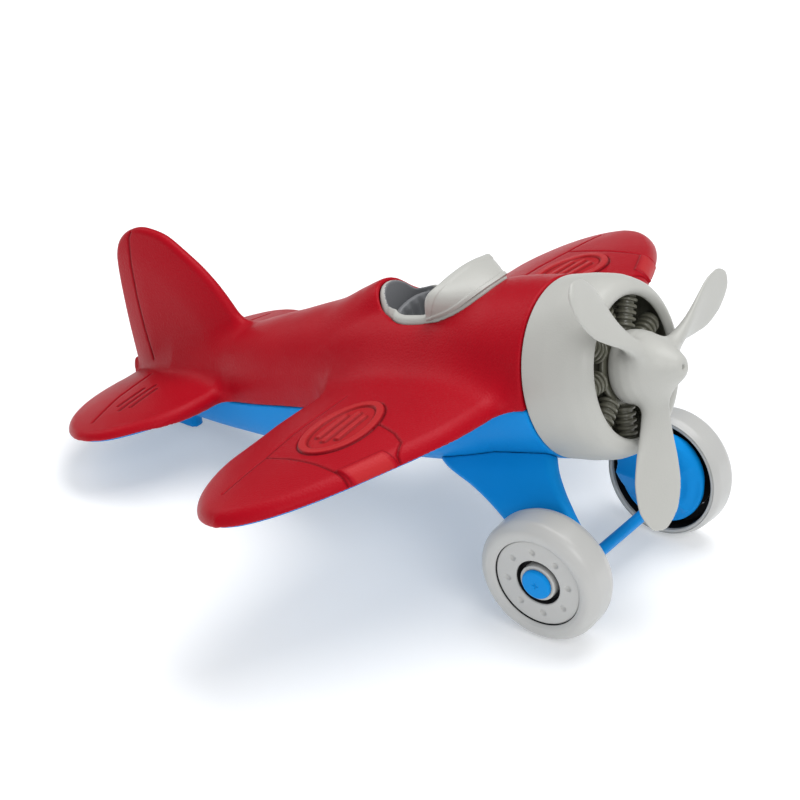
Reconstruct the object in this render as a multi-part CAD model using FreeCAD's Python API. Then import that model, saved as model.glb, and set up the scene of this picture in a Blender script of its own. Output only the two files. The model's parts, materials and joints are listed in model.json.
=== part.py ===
import FreeCAD, Part
import math
import os

# Toy airplane: a moulded plastic low-wing monoplane with a radial engine,
# standing on two wheels and a tail skid. Millimetres, +Z up, +X towards the
# nose, -Y the right-hand side. The origin is on the ground at the centre of
# the bounding box.
# Most parts are drawn in the flight frame (x along the propeller axis, z = 0
# on that axis, x = 0 at mid wing) and then stood nose up. Wheel parts are
# drawn in a wheel frame, with x pointing outward along the axle.

Vec = FreeCAD.Vector
ORIGIN = Vec(0, 0, 0)
X_AXIS = Vec(1, 0, 0)
Y_AXIS = Vec(0, 1, 0)
Z_AXIS = Vec(0, 0, 1)

# ------------------------------------------------------------ standing frame
PITCH = 17.12                      # degrees nose up
FLIGHT_ORIGIN = Vec(22.30, 0, 60.91)   # flight-frame origin, standing frame

# ------------------------------------------------------------- body outlines
BODY_WALL = 2.3
TAIL_WALL = 1.9
WING_Z = -1.5                      # flat underside of the upper wing moulding
TAIL_Z = -5.0                      # the same for the tailplane

# fuselage stations: x, half width, top z, bottom z, z of the widest line
FUSELAGE = [
    (56.7, 30.9, 30.9, -30.9, 0.0), (46.0, 30.9, 30.9, -30.9, 0.0),
    (32.0, 30.9, 30.9, -30.9, 0.0), (12.0, 30.5, 31.0, -30.8, -0.4),
    (-4.0, 29.5, 31.2, -30.5, -0.9), (-14.0, 28.4, 30.9, -30.2, -1.2),
    (-24.0, 27.0, 28.4, -29.8, -1.6), (-38.0, 24.9, 24.6, -29.2, -2.1),
    (-56.0, 22.1, 21.4, -28.4, -2.8), (-76.0, 18.9, 16.4, -27.2, -3.5),
    (-92.0, 15.4, 13.2, -25.2, -4.2), (-108.0, 12.0, 10.8, -22.6, -4.8),
    (-122.0, 8.6, 8.4, -19.6, -5.3), (-134.0, 5.4, 5.6, -16.0, -5.6),
    (-143.5, 2.7, 2.6, -12.0, -5.8)]
ROUND_FROM_X = 25.0                # forward of this the sections are elliptic
ROUND_POWER = 2.0
TOP_POWER, BOTTOM_POWER = 2.1, 2.7   # superellipse powers behind it
CAVITY_FRONT_X = 60.0              # the hollow runs out through the nose

# parting line between the upper and lower bodies, front to rear: x, z
PARTING_LINE = [
    (80.0, -3.2), (56.7, -3.0), (44.0, WING_Z), (-30.0, WING_Z),
    (-40.0, -6.6), (-88.0, -8.2), (-100.0, TAIL_Z), (-170.0, TAIL_Z)]

# wing stations: y, leading edge x, trailing edge x, dome height
WING = [
    (14.0, 52.0, -31.0, 21.0), (27.0, 51.5, -30.0, 19.0),
    (33.0, 50.2, -28.6, 14.6), (40.0, 49.0, -27.4, 11.6),
    (49.0, 48.2, -28.2, 10.2), (60.0, 46.4, -28.4, 9.6),
    (70.0, 42.7, -27.2, 9.2), (79.0, 38.9, -26.6, 8.8),
    (88.0, 35.0, -26.0, 8.4), (96.0, 31.6, -24.6, 8.0),
    (104.0, 27.2, -22.0, 7.5), (111.0, 22.8, -18.8, 7.0),
    (117.0, 18.0, -15.2, 6.3), (122.0, 13.4, -11.0, 5.4),
    (125.4, 9.4, -6.4, 4.2), (127.1, 5.4, -1.6, 2.4)]

# tailplane stations, same columns
TAIL = [
    (2.0, -90.0, -144.6, 7.6), (9.0, -89.4, -145.6, 7.0),
    (16.0, -89.0, -146.4, 6.2), (24.0, -89.4, -146.6, 5.7),
    (32.0, -90.6, -145.8, 5.3), (40.0, -93.2, -143.6, 5.0),
    (47.0, -97.0, -140.2, 4.6), (53.0, -102.2, -135.4, 4.1),
    (57.5, -107.6, -129.8, 3.4), (60.6, -114.0, -123.4, 2.2)]

# fin stations: z, leading edge x, trailing edge x, half thickness
TAIL_FIN = [
    (-3.0, -84.0, -144.4, 6.0), (5.0, -83.5, -144.0, 5.2),
    (12.0, -84.6, -143.5, 4.6), (18.0, -87.0, -143.1, 4.2),
    (24.0, -90.0, -142.6, 3.9), (30.0, -93.3, -142.0, 3.7),
    (37.5, -98.6, -141.0, 3.4), (44.7, -105.5, -139.2, 3.0),
    (50.0, -111.4, -136.4, 2.5), (53.0, -117.4, -132.0, 1.8),
    (54.5, -123.0, -128.6, 0.9)]

# right half of the cockpit opening, front to rear: x, half width
OPENING = [
    (34.2, 0.0), (33.2, 5.6), (30.8, 10.6), (26.8, 14.6), (20.0, 17.8),
    (12.0, 19.4), (4.0, 19.2), (-1.6, 17.0), (-5.4, 12.6), (-7.4, 6.6),
    (-8.0, 0.0)]
OPENING_CENTRE_X = 13.0
OPENING_TOP = 60.0                 # cuts run up to here, clear of the body
OPENING_LOOP = OPENING + [(x, -width) for x, width in OPENING[-2:0:-1]]

# --------------------------------------------------- fits shared by the parts
SPIGOT_R = 28.3                    # cowl spigot in the fuselage nose
SPIGOT_GAP = 0.08
PEG_R, SOCKET_R = 2.5, 2.55
PEG_TOP, SOCKET_TOP = 3.6, 4.4
POST_R = 4.4
CENTRE_POSTS = [(-42.0, 0.0), (-74.0, 0.0)]      # x, y
WING_POSTS = [(10.0, 82.0), (10.0, -82.0)]
COWL_BACK, COWL_FRONT = 56.9, 83.2
FIREWALL_FRONT = COWL_BACK + 2.4
FIREWALL_HOLE_R = 7.0
SHAFT_R = 2.5
SHAFT_BACK, SHAFT_FRONT = 49.0, 94.0
GROOVE_R = 1.9                     # clip groove near the rear end of the shaft
GROOVE_BACK, GROOVE_FRONT = 50.6, 52.2


# ------------------------------------------------------------------- helpers
def stand(shape):
    """Move a shape from the flight frame to the standing frame."""
    shape = shape.copy()
    shape.rotate(ORIGIN, Y_AXIS, -PITCH)
    shape.translate(FLIGHT_ORIGIN)
    return shape


def mirror(shape):
    """Reflect a shape to the other side of the airplane."""
    return shape.mirror(ORIGIN, Y_AXIS)


def signed_power(value, power):
    return math.copysign(abs(value) ** power, value)


def spline_loop(points):
    curve = Part.BSplineCurve()
    curve.interpolate(Points=points, PeriodicFlag=True)
    return Part.Wire([curve.toShape()])


def oval(centre, along, across, count, along_power=1.0, across_power=1.0):
    """Closed superellipse-like spline with two half-axis vectors."""
    points = []
    for i in range(count):
        angle = 2 * math.pi * i / count
        points.append(centre + along * signed_power(math.cos(angle), along_power)
                      + across * signed_power(math.sin(angle), across_power))
    return spline_loop(points)


def arch_wire(points, floor_z):
    """Open spline closed below by straight lines at floor_z."""
    curve = Part.BSplineCurve()
    curve.interpolate(points)
    edges = [curve.toShape()]
    first, last = points[0], points[-1]
    if abs(floor_z - first.z) < 1e-6:
        edges.append(Part.makeLine(last, first))
    else:
        first_foot = Vec(first.x, first.y, floor_z)
        last_foot = Vec(last.x, last.y, floor_z)
        edges += [Part.makeLine(last, last_foot),
                  Part.makeLine(last_foot, first_foot),
                  Part.makeLine(first_foot, first)]
    return Part.Wire(edges)


def rounded_wire(corners):
    """Closed polygon of (point, corner radius); radii shrink to fit the sides."""
    count = len(corners)
    pieces = []
    for i, (corner, radius) in enumerate(corners):
        if radius == 0:
            pieces.append([corner])
            continue
        to_last = corners[i - 1][0] - corner
        to_next = corners[(i + 1) % count][0] - corner
        half_angle = to_last.getAngle(to_next) / 2
        trim = min(radius / math.tan(half_angle),
                   0.499 * to_last.Length, 0.499 * to_next.Length)
        fitted = trim * math.tan(half_angle)
        to_last.normalize()
        to_next.normalize()
        bisector = to_last + to_next
        bisector.normalize()
        middle = corner + bisector * (fitted / math.sin(half_angle) - fitted)
        pieces.append([corner + to_last * trim, middle, corner + to_next * trim])
    edges = []
    for i, piece in enumerate(pieces):
        if len(piece) == 3:
            edges.append(Part.Arc(*piece).toShape())
        start, end = piece[-1], pieces[(i + 1) % count][0]
        if (end - start).Length > 1e-5:
            edges.append(Part.makeLine(start, end))
    return Part.Wire(edges)


def outward(solid):
    """Turn an inside-out solid the right way round."""
    if solid.Volume < 0:
        solid.reverse()
    return solid


def loft(wires):
    return outward(Part.makeLoft(wires, True, False))


def lathe(profile):
    """Solid of revolution about X from (x, radius, corner radius)."""
    wire = rounded_wire([(Vec(x, 0, r), corner) for x, r, corner in profile])
    return outward(Part.Face(wire).revolve(ORIGIN, X_AXIS, 360))


def x_cylinder(radius, x_from, x_to):
    return Part.makeCylinder(radius, x_to - x_from, Vec(x_from, 0, 0), X_AXIS)


def z_cylinder(radius, x, y, z_from, z_to):
    return Part.makeCylinder(radius, z_to - z_from, Vec(x, y, z_from), Z_AXIS)


def side_prism(outline, half_width):
    """Prism across Y from a closed (x, z) outline."""
    wire = Part.makePolygon([Vec(x, -half_width, z) for x, z in outline + outline[:1]])
    return Part.Face(wire).extrude(Vec(0, 2 * half_width, 0))


def plan_prism(loop, z_from, z_to):
    """Upright prism from a smooth closed (x, y) loop."""
    wire = spline_loop([Vec(x, y, z_from) for x, y in loop])
    return Part.Face(wire).extrude(Vec(0, 0, z_to - z_from))


def largest_solid(shape):
    """The biggest solid of a shape, with its split faces merged."""
    # Merging faces can fail on the lofted surfaces; the shape is then used as is.
    try:
        merged = shape.removeSplitter()
        if merged.isValid() and merged.Solids:
            shape = merged
    except Part.OCCError:
        pass
    return sorted(shape.Solids, key=lambda solid: -solid.Volume)[0]


# ------------------------------------------------------------ body envelopes
def fuselage_section(x, half_width, top, bottom, mid, inset):
    count = 28
    points = []
    for i in range(count):
        angle = 2 * math.pi * i / count
        across, up = math.cos(angle), math.sin(angle)
        if up >= 0:
            height, power = top - mid, TOP_POWER
        else:
            height, power = mid - bottom, BOTTOM_POWER
        if x > ROUND_FROM_X:
            power = ROUND_POWER
        points.append(Vec(x, (half_width - inset) * signed_power(across, 2 / power),
                          mid + (height - inset) * signed_power(up, 2 / power)))
    return spline_loop(points)


def fuselage_loft(stations, inset=0.0):
    return loft([fuselage_section(*station, inset) for station in stations])


def swollen_fuselage(stations, growth):
    """Fuselage made larger at the sides and the top only."""
    return fuselage_loft([(x, half_width + growth, top + growth, bottom, mid)
                          for x, half_width, top, bottom, mid in stations])


def dome_section(y, lead, trail, height, base_z, floor_z, inset):
    """Section at constant y: domed above base_z, flat at floor_z."""
    lead, trail, height = lead - inset, trail + inset, height - inset
    middle, half_chord = (lead + trail) / 2, (lead - trail) / 2
    steps = 14
    points = []
    for i in range(steps + 1):
        angle = math.pi * i / steps
        points.append(Vec(middle + half_chord * signed_power(math.cos(angle), 0.72), y,
                          base_z + height * abs(math.sin(angle)) ** 0.80))
    return arch_wire(points, floor_z)


def half_dome(stations, base_z, depth=0.0, inset=0.0):
    """Left half of the wing or tailplane, going depth below base_z."""
    return loft([dome_section(*station, base_z, base_z - depth, inset)
                 for station in stations])


def build_tail_fin():
    return loft([oval(Vec((lead + trail) / 2, 0, z), Vec((lead - trail) / 2, 0, 0),
                      Vec(0, half_thick, 0), 20, across_power=0.9)
                 for z, lead, trail, half_thick in TAIL_FIN])


body_outer = fuselage_loft(FUSELAGE)
body_inner = fuselage_loft([(CAVITY_FRONT_X,) + FUSELAGE[0][1:]] + FUSELAGE[1:-2], BODY_WALL)
above_parting = side_prism(PARTING_LINE[::-1] + [(80.0, 90.0), (-170.0, 90.0)], 150)
below_parting = side_prism(PARTING_LINE[::-1] + [(80.0, -90.0), (-170.0, -90.0)], 150)
nose_bore = x_cylinder(SPIGOT_R + SPIGOT_GAP, 49.0, 60.0)
wing_outer = half_dome(WING, WING_Z)


# ---------------------------------------------------------------- upper body
def build_upper_body():
    """Top of the fuselage with wings, tailplane and fin, hollow below."""
    hollow_depth = 3.0             # cavities start this far below the underside
    wing_inner = half_dome(WING[1:-1], WING_Z, hollow_depth, BODY_WALL)
    tail_outer = half_dome(TAIL, TAIL_Z)
    tail_inner = half_dome(TAIL[1:-1], TAIL_Z, hollow_depth, TAIL_WALL)

    body = body_outer
    for piece in (wing_outer, mirror(wing_outer), tail_outer, mirror(tail_outer),
                  build_tail_fin()):
        body = body.fuse(piece)
    body = body.common(above_parting).cut(body_inner).cut(nose_bore)
    body = body.cut(plan_prism(OPENING_LOOP, 8.0, OPENING_TOP))
    for cavity in (wing_inner, mirror(wing_inner), tail_inner.fuse(mirror(tail_inner))):
        body = body.cut(cavity)

    # socket posts, trimmed to the outer skin
    for x, y in CENTRE_POSTS + WING_POSTS:
        if y == 0:
            foot_z, skin = -3.0, body_outer
        else:
            foot_z = -1.0
            skin = wing_outer if y > 0 else mirror(wing_outer)
        post = z_cylinder(POST_R, x, y, foot_z, 34.0).common(skin)
        body = body.fuse(post.cut(z_cylinder(SOCKET_R, x, y, -12.0, SOCKET_TOP)))
    return largest_solid(body)


# ------------------------------------------------------- landing gear struts
# sections of the right strut, top to bottom: y, z, rear x, front x, half thickness
STRUT = [
    (-19.0, -24.0, 6.0, 55.0, 3.3), (-22.5, -28.0, 12.0, 57.0, 3.2),
    (-26.4, -33.4, 24.0, 60.6, 3.0), (-30.4, -39.0, 34.0, 65.4, 2.8),
    (-33.2, -45.0, 41.0, 69.4, 2.6), (-34.6, -51.0, 45.0, 71.0, 2.5)]
# straight tongue through the belly, and the slot it passes, same columns
TONGUE = [(-11.0, -13.0, 14.0, 46.0, 1.5), (-21.0, -27.0, 14.0, 46.0, 1.5)]
SLOT = [(-9.0, -10.6, 14.0, 46.0, 1.5), (-24.0, -31.0, 14.0, 46.0, 1.5)]
SLOT_GAP = 0.15
STRUT_ACROSS = Vec(0, -0.86, 0.51)     # thickness direction of the strut


def strut_loft(stations, growth=0.0):
    return loft([oval(Vec((rear + front) / 2, y, z),
                      Vec((front - rear) / 2 + growth, 0, 0),
                      STRUT_ACROSS * (half_thick + growth), 20, 0.75, 0.75)
                 for y, z, rear, front, half_thick in stations])


# ---------------------------------------------------------------- lower body
PANEL_INSET = 0.8
WING_PANEL_T = 2.4
TAIL_PANEL_T = 1.8
WING_PANEL_ROOT = (24.5, 50.4, -29.2, 0)         # columns as in WING
# tail skid sections: z, rear x, front x, half thickness
SKID = [(-12.0, -140.5, -116.0, 4.4), (-17.0, -139.0, -119.0, 3.9),
        (-21.0, -136.6, -122.5, 3.5), (-27.0, -134.4, -124.6, 3.1)]


def under_panel(stations, top, thickness):
    """Flat left-hand underside panel, narrower at its lower face."""
    bevel = 1.0
    bottom = top - thickness
    wires = []
    for y, lead, trail, _ in stations:
        front, rear = lead - PANEL_INSET, trail + PANEL_INSET
        wires.append(Part.makePolygon([
            Vec(front, y, top), Vec(rear, y, top), Vec(rear + bevel, y, bottom),
            Vec(front - bevel, y, bottom), Vec(front, y, top)]))
    return loft(wires).common(below_parting)


def ground_in_flight_frame():
    ground = Part.makeBox(600, 400, 100, Vec(-300, -200, -100))
    ground.translate(-FLIGHT_ORIGIN)
    ground.rotate(ORIGIN, Y_AXIS, PITCH)
    return ground


def build_skid():
    """Tapered keel under the tail with a flat foot on the ground."""
    skid = loft([oval(Vec((rear + front) / 2, 0, z), Vec((front - rear) / 2, 0, 0),
                      Vec(0, half_thick, 0), 16, 0.8, 0.8)
                 for z, rear, front, half_thick in SKID])
    return skid.cut(body_inner).cut(ground_in_flight_frame())


def build_lower_body():
    """Belly of the fuselage with underside panels, pegs and tail skid."""
    wing_panel = under_panel([WING_PANEL_ROOT] + WING[3:-1], WING_Z, WING_PANEL_T)
    tail_panel = under_panel(TAIL[:-1], TAIL_Z, TAIL_PANEL_T)
    body = body_outer.common(below_parting).cut(body_inner)
    for piece in (wing_panel, mirror(wing_panel), tail_panel, mirror(tail_panel)):
        body = body.fuse(piece)
    body = body.cut(nose_bore)

    for x, y in CENTRE_POSTS:
        body = body.fuse(z_cylinder(POST_R, x, y, -30.0, -3.1).common(body_outer))
        body = body.fuse(z_cylinder(PEG_R, x, y, -4.0, PEG_TOP))
    for x, y in WING_POSTS:
        body = body.fuse(z_cylinder(PEG_R, x, y, WING_Z - 1.0, PEG_TOP))

    body = body.fuse(build_skid())
    slot = strut_loft(SLOT, SLOT_GAP)
    return largest_solid(body.cut(slot).cut(mirror(slot)))


# --------------------------------------------------------------- wheel frame
WHEEL_X, WHEEL_Z = 56.55, -57.25   # wheel centre in the flight frame
HALF_TRACK = 41.06                 # to the middle plane of the wheel
DROOP = math.radians(4.19)         # the axle slopes down outward
SWEEP = math.radians(1.28)         # and points a little forward

wheel_centre = FreeCAD.Rotation(Y_AXIS, -PITCH).multVec(
    Vec(WHEEL_X, -HALF_TRACK, WHEEL_Z)) + FLIGHT_ORIGIN
axle = Vec(math.sin(SWEEP), -math.cos(DROOP) * math.cos(SWEEP), -math.sin(DROOP))
axle.normalize()


def on_wheel(shape):
    """Move a shape from the right wheel's frame to the standing frame."""
    shape = shape.copy()
    shape.Placement = FreeCAD.Placement(wheel_centre, FreeCAD.Rotation(X_AXIS, axle))
    return shape


# -------------------------------------------------------------- landing gear
TYRE_R, TYRE_HALF_W = 22.72, 6.9
FACE_R = 16.0                      # line between tyre and wheel disc
DISC_FACE = 5.3                    # outer face of the wheel disc
STUB_R = 5.0                       # axle stub
STUB_BORE_R = 2.6
BACKING_FACE = -4.6                # outer face of the backing disc
BACKING_R, BACKING_T = 16.8, 2.4
BACKING_REAR = BACKING_FACE - BACKING_T
BRACE_R, BRACE_HALF_L = 2.1, 36.4
BRACE_X = wheel_centre.x + 4.4
BRACE_Z = wheel_centre.z - 3.6


def build_carrier():
    """Backing disc with its hollow axle stub."""
    backing = lathe([
        (BACKING_REAR, 0.0, 0), (BACKING_REAR, BACKING_R - 1.2, 0.8),
        (BACKING_REAR + 0.8, BACKING_R, 0.5), (BACKING_FACE, BACKING_R, 0.6),
        (BACKING_FACE, 0.0, 0)])
    stub = x_cylinder(STUB_R, BACKING_FACE - 1.0, DISC_FACE + 0.3)
    stub = stub.fuse(x_cylinder(7.4, BACKING_FACE - 0.5, BACKING_FACE + 0.7))
    stub = stub.cut(x_cylinder(STUB_BORE_R, -2.6, DISC_FACE + 1.0))
    return on_wheel(backing.fuse(stub))


def build_strut():
    """Right strut and tongue, a hair clear of the belly and of the wheel."""
    leg = strut_loft(STRUT)
    exposed = leg.cut(fuselage_loft(FUSELAGE, -0.05))
    tongue = strut_loft(TONGUE).cut(leg)
    strut = stand(exposed.fuse(tongue).removeSplitter())
    return strut.cut(on_wheel(x_cylinder(30.0, BACKING_FACE - 0.3, 40.0)))


def build_landing_gear():
    """Both struts and carriers, joined by the cross brace."""
    blend = on_wheel(lathe([
        (BACKING_FACE - 7.2, 0.0, 0), (BACKING_FACE - 7.2, 9.0, 2.0),
        (BACKING_REAR + 0.2, 13.4, 0), (BACKING_REAR + 0.2, 0.0, 0)]))
    side = build_strut().fuse([build_carrier(), blend])
    brace = Part.makeCylinder(BRACE_R, 2 * BRACE_HALF_L,
                              Vec(BRACE_X, -BRACE_HALF_L, BRACE_Z), Y_AXIS)
    wheel_space = on_wheel(x_cylinder(40.0, BACKING_FACE - 1.2, 40.0))
    brace = brace.cut(wheel_space).cut(mirror(wheel_space))
    return largest_solid(side.fuse([mirror(side), brace]))


# ---------------------------------------------------------------------- cowl
COWL_R, COWL_WALL = 30.9, 2.4
INLET_R = 22.9
SPIGOT_WALL = 2.0


def build_cowl():
    """Ring cowl open at the front, with a firewall and a spigot behind."""
    bore_r = COWL_R - COWL_WALL
    shell = lathe([
        (COWL_BACK, COWL_R - 5.6, 0), (COWL_BACK, COWL_R - 0.1, 0.5),
        (72.5, COWL_R + 0.1, 14.0), (COWL_FRONT - 1.2, 28.4, 5.0),
        (COWL_FRONT + 0.3, 24.2, 2.2), (80.4, INLET_R, 1.6),
        (78.0, 25.6, 2.0), (73.0, bore_r, 6.0),
        (FIREWALL_FRONT, bore_r, 0), (FIREWALL_FRONT, FIREWALL_HOLE_R, 0),
        (COWL_BACK, FIREWALL_HOLE_R, 0)])
    spigot = x_cylinder(SPIGOT_R, 50.2, COWL_BACK + 0.5)
    spigot = spigot.cut(x_cylinder(SPIGOT_R - SPIGOT_WALL, 50.0, 60.0))
    return largest_solid(shell.fuse(spigot))


# -------------------------------------------------------------------- engine
CYLINDER_COUNT = 9
CYLINDER_PHASE = 18.0              # degrees from +Y towards +Z
CYLINDER_X = 74.3
CYLINDER_R, CYLINDER_START, CYLINDER_REACH = 2.9, 8.0, 24.4
RING_R, RING_T = 3.7, 1.2          # cooling fins
RING_COUNT, RING_START, RING_PITCH = 5, 12.6, 2.5
HEAD_R, HEAD_T = RING_R - 0.7, 1.6
CRANKCASE_R = 12.2
PLUG_R = FIREWALL_HOLE_R - 0.1     # rear end, in the firewall hole
PLUG_BACK = COWL_BACK - 3.6
CASE_BACK = FIREWALL_FRONT + 0.05


def build_engine_cylinder(angle):
    """One finned cylinder standing radially at the given angle."""
    direction = Vec(0, math.cos(angle), math.sin(angle))

    def radial(radius, start, length):
        base = Vec(CYLINDER_X, 0, 0) + direction * start
        return Part.makeCylinder(radius, length, base, direction)

    core = radial(CYLINDER_R, CYLINDER_START, CYLINDER_REACH - CYLINDER_START)
    rings = [radial(RING_R, RING_START + i * RING_PITCH, RING_T)
             for i in range(RING_COUNT)]
    head = radial(HEAD_R, CYLINDER_REACH - HEAD_T, HEAD_T)
    return core.fuse(rings + [head])


def build_engine():
    """Crankcase with its ring of cylinders, bored for the shaft."""
    crankcase = lathe([
        (PLUG_BACK, 0.0, 0), (PLUG_BACK, PLUG_R, 0.6), (CASE_BACK, PLUG_R, 0),
        (CASE_BACK, CRANKCASE_R, 0.8), (74.0, CRANKCASE_R, 1.2),
        (75.4, 11.2, 0.8), (75.4, 12.6, 0.2), (77.0, 12.6, 0.5), (77.0, 0.0, 0)])
    cylinders = [
        build_engine_cylinder(math.radians(CYLINDER_PHASE + 360.0 / CYLINDER_COUNT * i))
        for i in range(CYLINDER_COUNT)]
    engine = crankcase.fuse(cylinders)
    return largest_solid(engine.cut(x_cylinder(SHAFT_R + 0.06, 40.0, 90.0)))


# ------------------------------------------------------------------- cockpit
TUB_GAP = 0.12                     # clearance to the opening
TUB_WALL_INSET = 2.0               # from the opening to the inside of the well
TUB_BOTTOM, WELL_BOTTOM = 6.0, 9.5
RIM_GROWTH = 0.9                   # the rim stands this proud of the body
SEAT_X, SEAT_T = 4.5, 3.2
# seat back outline: y, z, corner radius
SEAT = [(-19.5, 8.0, 0), (19.5, 8.0, 0), (19.5, 20.5, 6.0), (8.0, 24.5, 8.0),
        (-8.0, 24.5, 8.0), (-19.5, 20.5, 6.0)]
RIB_R, RIB_X = 1.3, 7.6
RIB_Y = (-10.5, -3.5, 3.5, 10.5)


def inset_opening(inset):
    """The opening loop drawn in radially towards its centre."""
    loop = []
    for x, y in OPENING_LOOP:
        distance = math.hypot(x - OPENING_CENTRE_X, y)
        scale = (distance - inset) / distance
        loop.append((OPENING_CENTRE_X + (x - OPENING_CENTRE_X) * scale, y * scale))
    return loop


def build_cockpit_insert():
    """Rim and tub in one piece that drops into the opening."""
    plug = plan_prism(inset_opening(TUB_GAP), TUB_BOTTOM, OPENING_TOP)
    rim_skin = swollen_fuselage(FUSELAGE[:9], RIM_GROWTH)
    tub = plug.common(rim_skin)
    tub = tub.cut(plan_prism(inset_opening(TUB_WALL_INSET), WELL_BOTTOM, OPENING_TOP))

    # solid block filling the rear end of the well
    rear_box = Part.makeBox(9.0, 60, 60, Vec(-9.0, -30, TUB_BOTTOM))
    tub = tub.fuse(plug.common(rear_box).common(rim_skin))

    seat_wire = rounded_wire([(Vec(SEAT_X, y, z), radius) for y, z, radius in SEAT])
    seat = Part.Face(seat_wire).extrude(Vec(SEAT_T, 0, 0)).common(plug)
    ribs = [z_cylinder(RIB_R, RIB_X, y, 10.0, 21.0).common(plug) for y in RIB_Y]
    front_block = plug.common(Part.makeBox(14.0, 60, 16.0, Vec(22.0, -30, TUB_BOTTOM)))
    return largest_solid(tub.fuse([seat, front_block] + ribs))


# ---------------------------------------------------------------- windscreen
SCREEN_T = 1.8
# left half of the raked hood, centre to side: base point, rear arch point
SCREEN = [
    (Vec(33.4, 0.0, 30.9), Vec(21.8, 0.0, 37.6)),
    (Vec(32.2, 7.6, 29.9), Vec(21.5, 7.0, 37.3)),
    (Vec(29.6, 12.6, 28.2), Vec(20.4, 12.6, 36.0)),
    (Vec(25.6, 16.0, 26.3), Vec(18.4, 16.8, 33.2)),
    (Vec(20.4, 18.2, 24.8), Vec(16.6, 19.0, 28.8)),
    (Vec(15.6, 19.2, 24.2), Vec(15.2, 19.5, 24.6))]
RULING_COUNT = 41
HOOD_FLOOR_Z = 17.0
HOOD_X = (16.0, 18.0, 20.5, 23.5, 26.5, 29.5, 32.0)
HOOD_INNER_SHIFT = 2.8             # inner sections lie this far behind
REACH_LIMIT = 1.6                  # rulings extend at most this far past the base
# side outline of the space behind the rear arch: x, z
BEHIND_ARCH = [(0.0, 10.0), (12.0, 10.0), (15.4, 24.6), (22.0, 38.0),
               (24.0, 50.0), (0.0, 50.0)]


def screen_rulings():
    """Straight lines of the hood surface, from base to rear arch."""
    rulings = []
    spans = len(SCREEN) - 1
    for i in range(RULING_COUNT):
        place = spans * i / (RULING_COUNT - 1)
        span = min(int(place), spans - 1)
        part = place - span
        base, arch = SCREEN[span]
        next_base, next_arch = SCREEN[span + 1]
        rulings.append((base + (next_base - base) * part,
                        arch + (next_arch - arch) * part))
    return rulings


def resample(points, count):
    """Points at equal steps of length along a polyline."""
    lengths = [0.0]
    for start, end in zip(points, points[1:]):
        lengths.append(lengths[-1] + (end - start).Length)
    result = []
    for i in range(count):
        target = lengths[-1] * i / (count - 1)
        j = 0
        while j < len(lengths) - 2 and lengths[j + 1] < target:
            j += 1
        part = (target - lengths[j]) / (lengths[j + 1] - lengths[j])
        result.append(points[j] + (points[j + 1] - points[j]) * part)
    return result


def hood_section(x, inset):
    """Upright section of the hood, closed at its floor."""
    setback = inset * 1.6
    points = []
    for base, arch in screen_rulings():
        base_x = base.x - setback
        if base_x < x + 1e-6:
            break
        reach = min((base_x - x) / (base.x - arch.x), REACH_LIMIT)
        point = base + (arch - base) * reach
        points.append(Vec(x, point.y - inset * (point.y / 19.0), point.z - inset * 0.25))
    left = resample(points, 7)
    right = [Vec(x, -point.y, point.z) for point in left[::-1]]
    return arch_wire(right + left[1:], HOOD_FLOOR_Z)


def build_windscreen():
    hood_outer = loft([hood_section(x, 0.0) for x in HOOD_X])
    hood_inner = loft([hood_section(x - HOOD_INNER_SHIFT, SCREEN_T) for x in HOOD_X])
    screen = hood_outer.cut(hood_inner)
    screen = screen.cut(side_prism(BEHIND_ARCH, 60))
    # the foot clears the cockpit rim
    return largest_solid(screen.cut(swollen_fuselage(FUSELAGE[1:6], 1.0)))


# ------------------------------------------------------- propeller and shaft
BLADE_COUNT = 3
BLADE_X = 88.4
BLADE_PHASE = 131.0                # degrees from +Y towards +Z
SPINNER_BACK, SPINNER_FRONT, SPINNER_R = 77.6, 100.0, 12.4
# blade stations: radius, half chord, half thickness, degrees from the disc plane
BLADE = [
    (5.0, 4.2, 2.4, 58.0), (10.0, 4.5, 2.2, 54.0), (16.0, 5.2, 1.8, 48.0),
    (23.0, 6.6, 1.5, 40.0), (31.0, 8.3, 1.3, 33.0), (39.0, 9.2, 1.2, 28.0),
    (46.0, 8.4, 1.1, 25.0), (51.0, 5.8, 1.0, 23.0), (53.5, 2.8, 0.7, 22.0)]


def blade_section(radius, half_chord, half_thick, pitch):
    angle = math.radians(pitch)
    chord_way = Vec(math.sin(angle), -math.cos(angle), 0)
    thick_way = Vec(math.cos(angle), math.sin(angle), 0)
    return oval(Vec(0, 0, radius), chord_way * half_chord, thick_way * half_thick, 16)


def build_propeller():
    """Spinner with its blades, blind bored from behind for the shaft."""
    spinner = lathe([
        (SPINNER_BACK, 0.0, 0), (SPINNER_BACK, SPINNER_R - 1.4, 0.6),
        (SPINNER_BACK + 2.0, SPINNER_R, 3.0),
        (SPINNER_BACK + 11.5, SPINNER_R - 2.6, 9.0),
        (SPINNER_BACK + 19.5, 6.2, 5.0),
        (SPINNER_FRONT, 3.2, 2.2), (SPINNER_FRONT, 0.0, 0)])
    blade = loft([blade_section(*station) for station in reversed(BLADE)])
    blades = []
    for i in range(BLADE_COUNT):
        turned = blade.copy()
        # the blade is drawn along +Z, which is 90 degrees from +Y
        turned.rotate(ORIGIN, X_AXIS, BLADE_PHASE + 360.0 / BLADE_COUNT * i - 90.0)
        turned.translate(Vec(BLADE_X, 0, 0))
        blades.append(turned)
    propeller = spinner.fuse(blades).cut(x_cylinder(SHAFT_R, 60.0, SHAFT_FRONT))
    tip_hole = x_cylinder(0.7, SPINNER_FRONT - 1.1, SPINNER_FRONT + 1.0)
    return largest_solid(propeller.cut(tip_hole))


def groove_core():
    return x_cylinder(GROOVE_R, 50.0, 53.0)


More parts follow.
